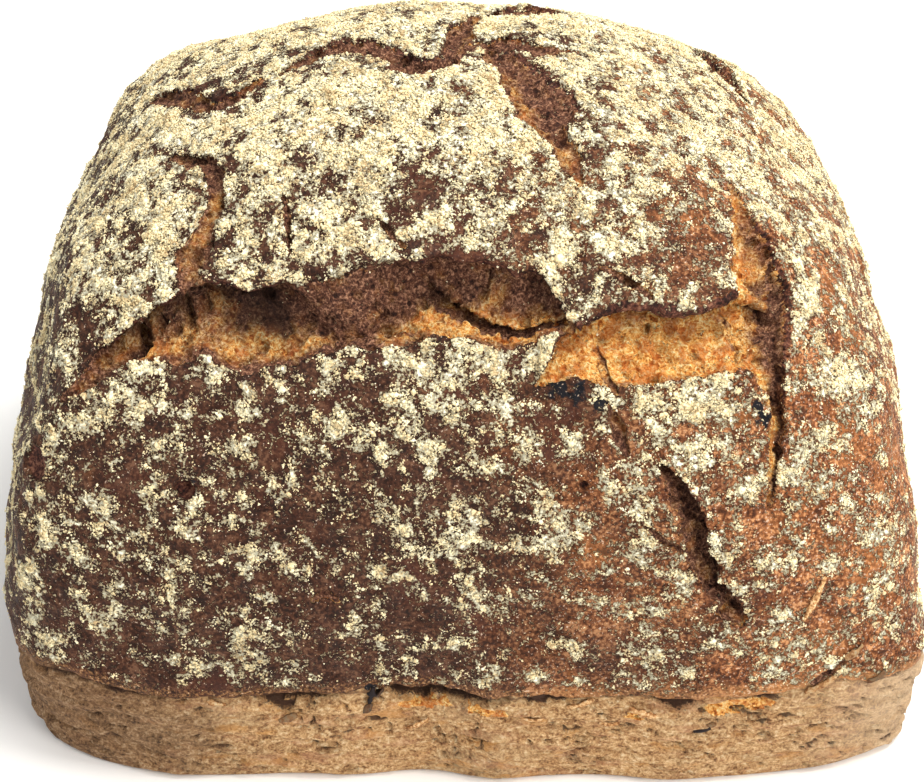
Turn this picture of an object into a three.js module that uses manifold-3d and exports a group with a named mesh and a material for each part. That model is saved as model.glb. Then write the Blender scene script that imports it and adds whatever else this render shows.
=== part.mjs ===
// A rye bread loaf baked in a straight-sided tin: a domed crust that tore as it rose, over a paler band
// that the tin held. One solid, in millimetres, +Z up, the front facing -Y, the origin at the base's centre.
import * as THREE from "three";
import { mergeVertices } from "three/addons/utils/BufferGeometryUtils.js";
import Module from "manifold-3d";

// The loaf's overall form.
const HALF_WIDTH = 82.5; // at the lip, its widest level
const HALF_DEPTH = 62.5;
const HEIGHT = 114;
const LIP_HEIGHT = 22; // where the crust spilled over the tin's rim
const TIN_CORNER = 7; // superellipse power of the plan at the lip: a square with rounded corners
const CROWN_CORNER = 2.65; // the same power at the crown, nearly an ellipse
const DOME_POWER = 2.4; // how squarely the walls turn into the top
const LEAN = new THREE.Vector2(-5.5, 2.8); // how far the crown sits off the middle

// The band that the tin held, below the lip.
const BAND_TAPER = 1.9; // how far in each side of the base is from the lip
const CORNER_TUCK = 2.2; // how much further in the base's corners are
const CORNER_BEARING = 53; // where the plan's corners lie, from the front and from the back
const CORNER_SPREAD = 9;
const LIP_UNDERCUT = 2.2; // how deep the crust overhangs the band
const BASE_CHAMFER = 0.9;

// The crust's general unevenness, as a sum of sine waves.
const UNEVEN_WAVES = 22;
const LONGEST_WAVE = 34;
const SHORTEST_WAVE = 12;
const WAVE_HEIGHT = 0.0055; // of the wave's own length
const BAND_EVENNESS = 0.45; // how much of it the tin left on the band

// The grid that is wrapped onto the loaf.
const COLUMNS_WIDE = 26;
const COLUMNS_DEEP = 20;
const DOME_ROWS = 14;
const FIRST_ROW_LIFT = 1.5; // how far the dome's first row stands above the lip
const TEAR_STEP = 3.3; // spacing of a tear's sections along its length
const TEAR_RAGGEDNESS = 0.15; // how much its width and depth vary between sections
const WIDE_TEAR = 6; // tears narrower than this run less far in under their flap
const CUT_CLEARANCE = 3; // how far a tear's cutter stands out of the crust

const HEART = new THREE.Vector3(0, 0, LIP_HEIGHT); // the dome's radii start here

// Broad lumps and hollows: bearing from the front and rise above the lip in degrees, spread in degrees, height.
const LUMPS = [
  { bearing: 58, rise: -1, spread: 7, height: 3 },
  { bearing: -136, rise: 64, spread: 9, height: -1.5 },
  { bearing: 68, rise: 11, spread: 9, height: -2 },
  { bearing: -120, rise: 46, spread: 7, height: 1.8 },
  { bearing: -178, rise: 68, spread: 9, height: 0.9 },
  { bearing: -66, rise: 27, spread: 7, height: -2.5 },
  { bearing: -84, rise: 35, spread: 7, height: 0.9 },
  { bearing: -110, rise: 36, spread: 7, height: -1.6 },
  { bearing: -65, rise: 4, spread: 7, height: 0.6 },
  { bearing: 109, rise: 35, spread: 7, height: -1.3 },
  { bearing: 121, rise: 44, spread: 9, height: 0.9 },
];

// Where the lip sags below or pulls above its level: bearing, spread in degrees, height.
const LIP_WAVES = [
  { bearing: -35, spread: 9, height: -4 },
  { bearing: -51, spread: 7, height: 5 },
  { bearing: -10, spread: 8, height: 2.5 },
  { bearing: 47, spread: 3, height: 4 },
  { bearing: 100, spread: 14, height: -2.5 },
  { bearing: 150, spread: 18, height: 2.5 },
  { bearing: -90, spread: 12, height: 3 },
  { bearing: -155, spread: 15, height: -3 },
];

// Tears in the crust. Each station is a point near the crust [x, y, z], then the tear's width and depth there.
// undercut is how far the tear runs in under its upper flap.
const TEARS = [
  {
    name: "shoulder tear, left",
    undercut: 4,
    stations: [
      [-58, -44, 80, 3, 2], [-55, -45.5, 83, 6, 4], [-46, -45, 87, 8, 5], [-37, -47, 87, 13, 6],
      [-27, -47, 88, 13, 7.5], [-19, -46, 90, 11, 8], [-10, -45, 91, 11, 8], [-3, -44, 92, 12, 7.5],
      [3, -44.5, 92, 12, 7], [9, -45.5, 91, 12, 6.5], [15, -46, 90, 8, 5], [19, -47, 88, 2, 2],
    ],
  },
  {
    name: "shoulder tear, right",
    undercut: 3,
    stations: [
      [13, -51, 81, 2, 1.5], [19, -50, 84, 9, 4], [25, -49, 84.5, 11, 5], [33, -48, 85, 11, 5.5],
      [41, -47, 85, 10, 5.5], [47, -44, 85.5, 8, 5], [50, -42, 86, 5, 3],
    ],
  },
  {
    name: "right-hand slot",
    undercut: 1.5,
    stations: [
      [46, -21, 99, 1.5, 1.5], [47, -28, 97, 3, 2.5], [50, -32, 93, 7, 5], [51, -37, 89, 8, 7],
      [50.5, -43, 85, 8, 7.5], [50, -47, 80, 6, 6.5], [51.5, -50, 76, 5, 6], [52, -53, 70, 3.5, 5],
      [52, -56, 65, 2.5, 3.5], [51, -57, 60, 1.2, 1.5],
    ],
  },
  {
    name: "diagonal split",
    undercut: 1,
    stations: [
      [33.5, -57, 66, 1.2, 2], [36, -58, 62, 2.4, 5], [38, -59, 57, 2.2, 6], [38.5, -60, 53, 2, 5.5],
      [41, -61, 48, 2.4, 5.5], [44, -61, 42, 2.4, 4.5], [46, -61, 38.5, 1, 1.5],
    ],
  },
  {
    name: "left end of the shoulder tear",
    undercut: 1.5,
    stations: [
      [-54, -45, 83, 3, 3], [-60, -45.5, 80, 4.5, 4], [-64, -47, 75, 3, 3], [-69, -42, 71, 3, 2.5],
      [-75, -32, 64, 4, 2.5], [-79, -26, 58, 2, 1.2],
    ],
  },
  {
    name: "left vertical tear",
    undercut: 1,
    stations: [
      [-49, -18, 103, 2, 1.5], [-43, -23, 105, 3.5, 3], [-41, -30, 102, 3.5, 3], [-43, -34, 99, 3, 2.5],
      [-45, -39, 94, 5, 3.5], [-44, -44, 89, 4, 3],
    ],
  },
  {
    name: "crack across the crown",
    undercut: 1.2,
    stations: [
      [-31, -2, 112, 1.5, 1.2], [-23, 3, 113, 3, 2], [-15, 2.5, 114, 4, 3], [-9, -6, 113, 5, 4.5],
      [-4, -5, 114, 3.5, 3.5], [-2, 3, 114, 3, 3], [0, 12, 113, 4.5, 4], [4, 19, 112, 2, 1.5],
    ],
  },
  {
    name: "branch of the crown crack",
    undercut: 0.8,
    stations: [[-2, 2, 114, 2, 2], [5, 5, 114, 3, 2.5], [13, 3, 113, 2.5, 1.8], [19, 5, 112, 1, 1]],
  },
  {
    name: "oval tear by the crown",
    undercut: 1.5,
    stations: [
      [5, -1, 114, 3, 2], [9, -6, 113, 9, 4.5], [13, -13, 111.5, 10, 5.5], [15, -20, 110, 6, 4],
      [16, -27, 106, 2, 1.2],
    ],
  },
  {
    name: "left crown crack",
    undercut: 1,
    stations: [
      [-56, 9, 101, 1.5, 1.2], [-50, 1, 105, 4, 2.5], [-43, -8, 108, 3.5, 2.5], [-35, -5, 110, 1.5, 1.2],
    ],
  },
  {
    name: "far rim crack",
    undercut: 1,
    stations: [[5, 20, 112, 1.5, 1], [11, 22, 111, 3.5, 2.5], [18, 23, 110, 1.5, 1]],
  },
  {
    name: "right crown nick",
    undercut: 1,
    stations: [[42, 32, 99, 1.5, 1.2], [45, 25, 101, 4, 3], [50, 18, 98, 1.5, 1.2]],
  },
  {
    name: "back shoulder tear",
    undercut: 3,
    stations: [
      [27, 51, 88, 2, 1.5], [18, 50, 91, 6, 4], [8, 51, 91, 9, 5], [-6, 50, 92, 8, 5.5],
      [-18, 49, 92, 9, 5.5], [-30, 48, 90, 7, 4], [-38, 50, 86, 2, 1.5],
    ],
  },
  {
    name: "back split",
    undercut: 1,
    stations: [[-22, 62, 70, 1.2, 2], [-25, 63, 62, 2.6, 5], [-24, 63, 54, 2.2, 5], [-28, 63, 46, 1.2, 2]],
  },
  {
    name: "right end tear",
    undercut: 1.5,
    stations: [[76, -10, 66, 1.5, 1.5], [75, 2, 70, 4.5, 3.5], [74, 14, 71, 4, 3.5], [74, 25, 67, 1.5, 1.5]],
  },
  {
    name: "left end split",
    undercut: 1,
    stations: [[-82, 8, 62, 1.2, 1.5], [-83, 14, 54, 2.6, 3.5], [-83, 13, 45, 2.2, 3], [-83, 18, 38, 1, 1.2]],
  },
];

// Burst bubbles: a point near the crust, the radius across it and the depth.
const PITS = [
  { at: [-72, -48, 61], radius: 2.6, depth: 2.2 },
  { at: [-46, -57, 62], radius: 1.5, depth: 1.8 },
  { at: [20, -58, 64], radius: 1, depth: 1.4 },
  { at: [37, -18, 104], radius: 0.9, depth: 1.2 },
  { at: [36, 61, 60], radius: 1.8, depth: 1.8 },
  { at: [-80, -10, 44], radius: 1.7, depth: 1.6 },
];

const rad = THREE.MathUtils.degToRad;
const GOLDEN_ANGLE = Math.PI * (3 - Math.sqrt(5));

function directionOf(bearing, rise) {
  const b = rad(bearing);
  const r = rad(rise);
  return new THREE.Vector3(Math.sin(b) * Math.cos(r), -Math.cos(b) * Math.cos(r), Math.sin(r));
}

// The bearing of a point or direction, in degrees from the front and rising to the right.
function bearingOf({ x, y }) {
  return THREE.MathUtils.radToDeg(Math.atan2(x, -y));
}

// A bell that is 1 at an angle of 0 and fades over its spread.
function bell(angle, spread) {
  return Math.exp(-((angle / spread) ** 2));
}

// Even, repeatable unevenness: sine waves that run in directions spread over a sphere, finer ones being lower.
function unevenness(p) {
  let sum = 0;
  for (let i = 0; i < UNEVEN_WAVES; i++) {
    const z = 1 - (2 * (i + 0.5)) / UNEVEN_WAVES;
    const ring = Math.sqrt(1 - z * z);
    const turn = i * GOLDEN_ANGLE;
    const length = LONGEST_WAVE * (SHORTEST_WAVE / LONGEST_WAVE) ** (((i * 7) % UNEVEN_WAVES) / UNEVEN_WAVES);
    const along = p.x * ring * Math.cos(turn) + p.y * ring * Math.sin(turn) + p.z * z;
    sum += WAVE_HEIGHT * length * Math.sin((2 * Math.PI * along) / length + i * 1.7);
  }
  return sum;
}

// How far a direction's plan outline lies from the axis, per unit of the direction's own length.
function planReach(u, power) {
  const sum = (Math.abs(u.x) / HALF_WIDTH) ** power + (Math.abs(u.y) / HALF_DEPTH) ** power;
  return Math.max(sum, 1e-30) ** (1 / power);
}

function lumpHeight(u) {
  return LUMPS.reduce((sum, { bearing, rise, spread, height }) => {
    const angle = Math.acos(THREE.MathUtils.clamp(u.dot(directionOf(bearing, rise)), -1, 1));
    return sum + height * bell(angle, rad(spread));
  }, 0);
}

// The dome's surface in a unit direction from the heart: a superquadric with lumps, leaning towards its crown.
function crust(u) {
  const up = THREE.MathUtils.clamp(u.z, 0, 1);
  const reach = planReach(u, TIN_CORNER + (CROWN_CORNER - TIN_CORNER) * up);
  const radius = (reach ** DOME_POWER + (up / (HEIGHT - LIP_HEIGHT)) ** DOME_POWER) ** (-1 / DOME_POWER);
  const p = u.clone().multiplyScalar(radius + lumpHeight(u));
  p.addScaledVector(u, unevenness(p));
  const lift = THREE.MathUtils.clamp(p.z / (HEIGHT - LIP_HEIGHT), 0, 1) ** 2;
  p.x += LEAN.x * lift;
  p.y += LEAN.y * lift;
  return p.add(HEART);
}

// The direction from the heart whose crust point is nearest in line with a given point.
function aim(p) {
  const u = p.clone().sub(HEART);
  const lift = THREE.MathUtils.clamp(u.z / (HEIGHT - LIP_HEIGHT), 0, 1) ** 2;
  u.x -= LEAN.x * lift;
  u.y -= LEAN.y * lift;
  return u.normalize();
}

function crustNormal(u) {
  const side = new THREE.Vector3(0, 0, 1).cross(u);
  if (side.lengthSq() < 1e-6) side.set(1, 0, 0);
  side.normalize();
  const over = u.clone().cross(side);
  const NUDGE = 0.02;
  const at = (v, s) => crust(u.clone().addScaledVector(v, s).normalize());
  const a = at(side, NUDGE).sub(at(side, -NUDGE));
  const b = at(over, NUDGE).sub(at(over, -NUDGE));
  return a.cross(b).normalize();
}

function lipRise(bearing) {
  return LIP_WAVES.reduce((sum, wave) => {
    const turn = THREE.MathUtils.euclideanModulo(bearing - wave.bearing + 180, 360) - 180;
    return sum + wave.height * bell(turn, wave.spread);
  }, 0);
}

// Rows of the band from the base to the lip: height as a share of the lip's own height there, lift above
// that, and how far the row is set in from the lip's outline.
const BAND_ROWS = [
  { share: 0, lift: 0, inset: BAND_TAPER + BASE_CHAMFER },
  { share: 0, lift: 0.5, inset: BAND_TAPER + 0.3 * BASE_CHAMFER },
  { share: 0, lift: BASE_CHAMFER, inset: BAND_TAPER },
  { share: 0.32, lift: 0, inset: BAND_TAPER * 0.75 },
  { share: 0.6, lift: 0, inset: BAND_TAPER * 0.55 },
  { share: 1, lift: -4, inset: BAND_TAPER * 0.4 },
  { share: 1, lift: -2, inset: LIP_UNDERCUT },
  { share: 1, lift: -0.6, inset: LIP_UNDERCUT * 0.9 },
  { share: 1, lift: 0, inset: 0.5 },
];

// How much of a corner a bearing lies in, 1 in the middle of one.
function cornerness(bearing) {
  const fromCorner = Math.abs(90 - Math.abs(Math.abs(bearing) - 90) - CORNER_BEARING);
  return bell(fromCorner, CORNER_SPREAD);
}

// A point of the band: a row of the list above, below the lip point that lies in a plan direction.
function bandPoint(u, { share, lift, inset }, lip) {
  const height = lip.z * share + lift;
  const tuck = CORNER_TUCK * cornerness(bearingOf(u)) * Math.max(0, 1 - height / lip.z);
  const p = new THREE.Vector3(lip.x, lip.y, height);
  const outward = new THREE.Vector3(u.x, u.y, 0).normalize();
  const middle = bell(height - lip.z / 2, lip.z / 3);
  return p.addScaledVector(outward, middle * BAND_EVENNESS * unevenness(p) - inset - tuck);
}

// The whole loaf without its tears: a box grid whose top and upper rows wrap the dome, whose lower rows
// wrap the band, and whose bottom face is the flat base.
function wrappedLoaf() {
  const rows = BAND_ROWS.length + DOME_ROWS;
  const box = new THREE.BoxGeometry(2, 2, rows, COLUMNS_WIDE, COLUMNS_DEEP, rows);
  box.deleteAttribute("normal");
  box.deleteAttribute("uv");
  const grid = mergeVertices(box, 1e-5);
  const at = grid.getAttribute("position");
  const v = new THREE.Vector3();
  for (let i = 0; i < at.count; i++) {
    v.fromBufferAttribute(at, i);
    const row = Math.round(v.z + rows / 2);
    const x = Math.tan((v.x * Math.PI) / 4) * HALF_WIDTH;
    const y = Math.tan((v.y * Math.PI) / 4) * HALF_DEPTH;
    const climb = Math.max(0, row - BAND_ROWS.length) / DOME_ROWS;
    const fade = (1 - climb) ** 3;
    const lipLevel = (lipRise(bearingOf({ x, y })) + FIRST_ROW_LIFT) * fade;
    const z = Math.tan((climb * Math.PI) / 4) * (HEIGHT - LIP_HEIGHT) + lipLevel;
    const edge = Math.max(Math.abs(v.x), Math.abs(v.y), 1e-6);
    if (row >= BAND_ROWS.length) {
      v.copy(crust(new THREE.Vector3(x, y, z).normalize()));
    } else {
      const rim = new THREE.Vector3(
        Math.tan(((v.x / edge) * Math.PI) / 4) * HALF_WIDTH,
        Math.tan(((v.y / edge) * Math.PI) / 4) * HALF_DEPTH,
        0,
      );
      const lip = crust(new THREE.Vector3(rim.x, rim.y, lipRise(bearingOf(rim))).normalize());
      v.copy(bandPoint(rim, BAND_ROWS[row], lip));
      if (row === 0) {
        v.x *= edge;
        v.y *= edge;
        v.z = 0;
      }
    }
    at.setXYZ(i, v.x, v.y, v.z);
  }
  return grid;
}

// A tear's cross-section, as [across, out] points: a torn slope from the lower crust edge, running in
// under the upper flap.
function tearSection(width, depth, undercut) {
  const half = width / 2;
  return [
    [-half * 1.1, CUT_CLEARANCE],
    [-half, 0],
    [-half * 0.4, -depth * 0.5],
    [half * 0.4, -depth * 0.85],
    [half + undercut, -depth],
    [half + undercut, -depth * 0.7],
    [half + undercut * 0.2, -depth * 0.3],
    [half, 0],
    [half * 1.1, CUT_CLEARANCE],
  ];
}

// The cutter of one tear: sections lofted along its stations, closed to a point at both ends.
function tearCutter({ undercut, stations }) {
  const path = new THREE.CatmullRomCurve3(
    stations.map(([x, y, z]) => crust(aim(new THREE.Vector3(x, y, z)))),
    false,
    "centripetal",
  );
  const spans = stations.length - 1;
  const sections = Math.max(4, Math.round(path.getLength() / TEAR_STEP));
  const ringSize = tearSection(1, 1, 1).length;
  const positions = [];
  const tip = (t) => {
    const u = aim(path.getPoint(t));
    positions.push(...crust(u).addScaledVector(crustNormal(u), CUT_CLEARANCE * 0.5).toArray());
  };
  tip(0);
  for (let s = 0; s < sections; s++) {
    const t = (s + 0.5) / sections;
    const i = Math.min(Math.floor(t * spans), spans - 1);
    const share = t * spans - i;
    const blend = (column) => THREE.MathUtils.lerp(stations[i][column], stations[i + 1][column], share);
    const width = blend(3) * (1 + TEAR_RAGGEDNESS * Math.sin(s * 2.4 + stations[0][0]));
    const depth = blend(4) * (1 + TEAR_RAGGEDNESS * Math.sin(s * 1.7 + stations[0][1]));
    const u = aim(path.getPoint(t));
    const out = crustNormal(u);
    const across = out.clone().cross(path.getTangent(t)).normalize();
    const middle = crust(u);
    for (const [a, o] of tearSection(width, depth, undercut * Math.min(1, width / WIDE_TEAR))) {
      positions.push(...middle.clone().addScaledVector(across, a).addScaledVector(out, o).toArray());
    }
  }
  tip(1);
  const index = [];
  const last = positions.length / 3 - 1;
  const corner = (s, k) => 1 + s * ringSize + (k % ringSize);
  for (let k = 0; k < ringSize; k++) {
    index.push(0, corner(0, k + 1), corner(0, k));
    index.push(last, corner(sections - 1, k), corner(sections - 1, k + 1));
    for (let s = 0; s + 1 < sections; s++) {
      index.push(corner(s, k), corner(s, k + 1), corner(s + 1, k));
      index.push(corner(s, k + 1), corner(s + 1, k + 1), corner(s + 1, k));
    }
  }
  return new THREE.BufferGeometry()
    .setAttribute("position", new THREE.Float32BufferAttribute(positions, 3))
    .setIndex(index);
}

// The cutter of one burst bubble: a small flattened ball set into the crust.
function pitCutter({ at, radius, depth }) {
  const u = aim(new THREE.Vector3(...at));
  const ball = new THREE.IcosahedronGeometry(radius, 1);
  ball.deleteAttribute("normal");
  ball.deleteAttribute("uv");
  ball.scale(1, 1, depth / radius);
  ball.applyQuaternion(new THREE.Quaternion().setFromUnitVectors(new THREE.Vector3(0, 0, 1), crustNormal(u)));
  const middle = crust(u);
  ball.translate(middle.x, middle.y, middle.z);
  return mergeVertices(ball, 1e-4);
}

const wasm = await Module();
wasm.setup();

function solidFrom(geometry) {
  const made = new wasm.Manifold(
    new wasm.Mesh({
      numProp: 3,
      vertProperties: new Float32Array(geometry.getAttribute("position").array),
      triVerts: new Uint32Array(geometry.index.array),
    }),
  );
  if (made.volume() > 0) return made;
  const turned = geometry.clone();
  turned.setIndex(Array.from(geometry.index.array).reverse());
  return solidFrom(turned);
}

function geometryFrom(solid) {
  const mesh = solid.getMesh();
  return new THREE.BufferGeometry()
    .setAttribute("position", new THREE.BufferAttribute(mesh.vertProperties, 3))
    .setIndex(new THREE.BufferAttribute(mesh.triVerts, 1));
}

// The loaf with every tear and pit cut out of it, standing over the middle of its own box.
function tornLoaf() {
  let solid = solidFrom(wrappedLoaf());
  for (const tear of TEARS) solid = solid.subtract(solidFrom(tearCutter(tear)));
  for (const pit of PITS) solid = solid.subtract(solidFrom(pitCutter(pit)));
  const geometry = geometryFrom(solid);
  geometry.computeBoundingBox();
  const centre = geometry.boundingBox.getCenter(new THREE.Vector3());
  return geometry.translate(-centre.x, -centre.y, 0);
}

const loaf = new THREE.Mesh(
  tornLoaf(),
  new THREE.MeshStandardMaterial({ color: 0x6b4630, roughness: 0.85, metalness: 0 }),
);
loaf.name = "loaf";

const bread = new THREE.Group();
bread.add(loaf);

export default bread;
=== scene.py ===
"""Finish of a tin-baked rye bread loaf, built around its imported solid.

The loaf is dressed in a torn, flour-dusted crust over the paler band that the tin held. Sizes are in
millimetres and become metres where a mesh is written. The front of the loaf faces -Y.
"""
import logging
import math
from dataclasses import dataclass, field
from enum import Enum

import bmesh
import bpy
import numpy as np
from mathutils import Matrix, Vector, noise
from mathutils.bvhtree import BVHTree


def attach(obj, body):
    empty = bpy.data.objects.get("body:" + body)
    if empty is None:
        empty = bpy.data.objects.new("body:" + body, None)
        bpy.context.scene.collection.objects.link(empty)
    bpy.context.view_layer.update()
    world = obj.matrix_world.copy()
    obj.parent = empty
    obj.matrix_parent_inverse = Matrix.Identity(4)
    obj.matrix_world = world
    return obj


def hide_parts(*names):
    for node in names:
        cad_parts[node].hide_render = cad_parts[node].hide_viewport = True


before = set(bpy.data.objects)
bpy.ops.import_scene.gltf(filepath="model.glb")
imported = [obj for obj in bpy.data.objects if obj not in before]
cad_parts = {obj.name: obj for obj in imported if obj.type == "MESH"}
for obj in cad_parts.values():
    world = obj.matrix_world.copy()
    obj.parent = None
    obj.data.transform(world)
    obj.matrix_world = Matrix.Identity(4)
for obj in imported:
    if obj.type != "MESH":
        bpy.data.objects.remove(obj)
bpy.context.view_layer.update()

LOG = logging.getLogger("rye_loaf")
MM = 0.001
NODE = "loaf"
BODY = "root"
HALF_TURN = 180.0

Array = np.ndarray
Colour = tuple[float, float, float]
Triple = tuple[float, float, float]


class Slot(str, Enum):
    """The record's material slots."""

    CRUST = "crust"
    PAN_CRUST = "pan_crust"
    FLOUR = "flour"


class Mask(str, Enum):
    """Point attributes that the finishes read, each from 0 to 1."""

    TORN = "torn"
    # Painted shade: deep in the tears, under their flaps, in the crumb's pores, in the band's pits and cracks
    # and in the gaps under the lip.
    PAINTED_SHADE = "deep"
    TOAST = "toast"
    # The crust's darker torn edges, which are their own colour, and on the band painted shade under the lip.
    DARK_EDGE_AND_LIP_SHADE = "rim"
    CHAR = "char"
    LIP = "lip"
    DUST = "dust"


class GrainShape(Enum):
    """Base forms of a flour grain."""

    CLUMP = "clump"
    GRAIN = "grain"
    SPECK = "speck"


# ------------------------------------------------------------- helpers


def srgb(red: float, green: float, blue: float) -> tuple[float, float, float, float]:
    """Turns a display colour of 0 to 255 a channel into a linear colour.

    Args:
        red: red channel.
        green: green channel.
        blue: blue channel.

    Returns:
        The linear colour with an alpha of 1.
    """
    shares = [channel / 255.0 for channel in (red, green, blue)]
    linear = [s / 12.92 if s <= 0.04045 else ((s + 0.055) / 1.055) ** 2.4 for s in shares]
    return (linear[0], linear[1], linear[2], 1.0)


def bell(angle: Array | float, spread: Array | float) -> Array | float:
    """A bell curve that is 1 at 0 and fades over its spread.

    Args:
        angle: distance from the middle.
        spread: where it has faded to 1/e, in the same unit.

    Returns:
        The height of the curve.
    """
    return np.exp(-((angle / spread) ** 2))


def smooth(values: Array, low: Array | float, high: Array | float) -> Array:
    """A smooth step from 0 at low to 1 at high.

    Args:
        values: what to grade.
        low: where the step begins.
        high: where it ends; below low for a step that falls.

    Returns:
        The graded values.
    """
    share = np.clip((values - low) / (high - low), 0.0, 1.0)
    return share * share * (3.0 - 2.0 * share)


def unit(vectors: Array) -> Array:
    """Vectors scaled to a length of 1."""
    return vectors / np.maximum(np.linalg.norm(vectors, axis=-1, keepdims=True), 1e-12)


def level_ways(rims: Array) -> Array:
    """Unit directions in plan towards these places, as rows of x, y and 0."""
    return unit(np.column_stack([rims, np.zeros(len(rims))]))


def towards(bearing: Array | float, rise: Array | float) -> Array:
    """Unit directions from the loaf's heart.

    Args:
        bearing: degrees from the front, rising to the right.
        rise: degrees above level.

    Returns:
        Directions, one a row.
    """
    turn, climb = np.radians(bearing), np.radians(rise)
    parts = (np.sin(turn) * np.cos(climb), -np.cos(turn) * np.cos(climb), np.sin(climb))
    return np.stack(np.broadcast_arrays(*parts), axis=-1)


def bearing_of(points: Array) -> Array:
    """Bearings of points in degrees from the front, rising to the right."""
    return np.degrees(np.arctan2(points[..., 0], -points[..., 1]))


def fractal(points: Array, size: float | Triple, octaves: int, seed: float = 0.0) -> Array:
    """Fractal noise at each point, about -1 to 1.

    Args:
        points: where to read it, in millimetres.
        size: size of its largest features, for all axes or each, in millimetres.
        octaves: how many ever finer layers it has.
        seed: moves the pattern.

    Returns:
        One value a point.
    """
    places = (points / np.asarray(size) + seed * 7.31).tolist()
    return np.array([noise.fractal(place, 1.0, 2.0, octaves) for place in places])


def bubbles(points: Array, spacing: float, seed: float = 0.0) -> tuple[Array, Array]:
    """Distance to the nearest of a scatter of bubbles, and a fixed random number for that bubble.

    Args:
        points: where to read them, in millimetres.
        spacing: mean spacing of the bubbles in millimetres.
        seed: moves the pattern.

    Returns:
        Distances in spacings, and numbers from 0 to 1.
    """
    found = [noise.voronoi(place) for place in (points / spacing + seed * 5.17).tolist()]
    distance = np.array([distances[0] for distances, _ in found])
    middles = np.array([list(places[0]) for _, places in found])
    chance = np.abs(np.sin(middles @ np.array([12.9898, 78.233, 37.719])) * 43758.5453) % 1.0
    return distance, chance


# --------------------------------------------------------- loaf's form


@dataclass(frozen=True)
class Lump:
    """A broad lump or hollow of the crust, as seen from the heart."""

    bearing: float
    rise: float
    spread: float
    height: float


@dataclass(frozen=True)
class LipWave:
    """A stretch where the lip sags below its level or pulls above it."""

    bearing: float
    spread: float
    height: float


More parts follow.
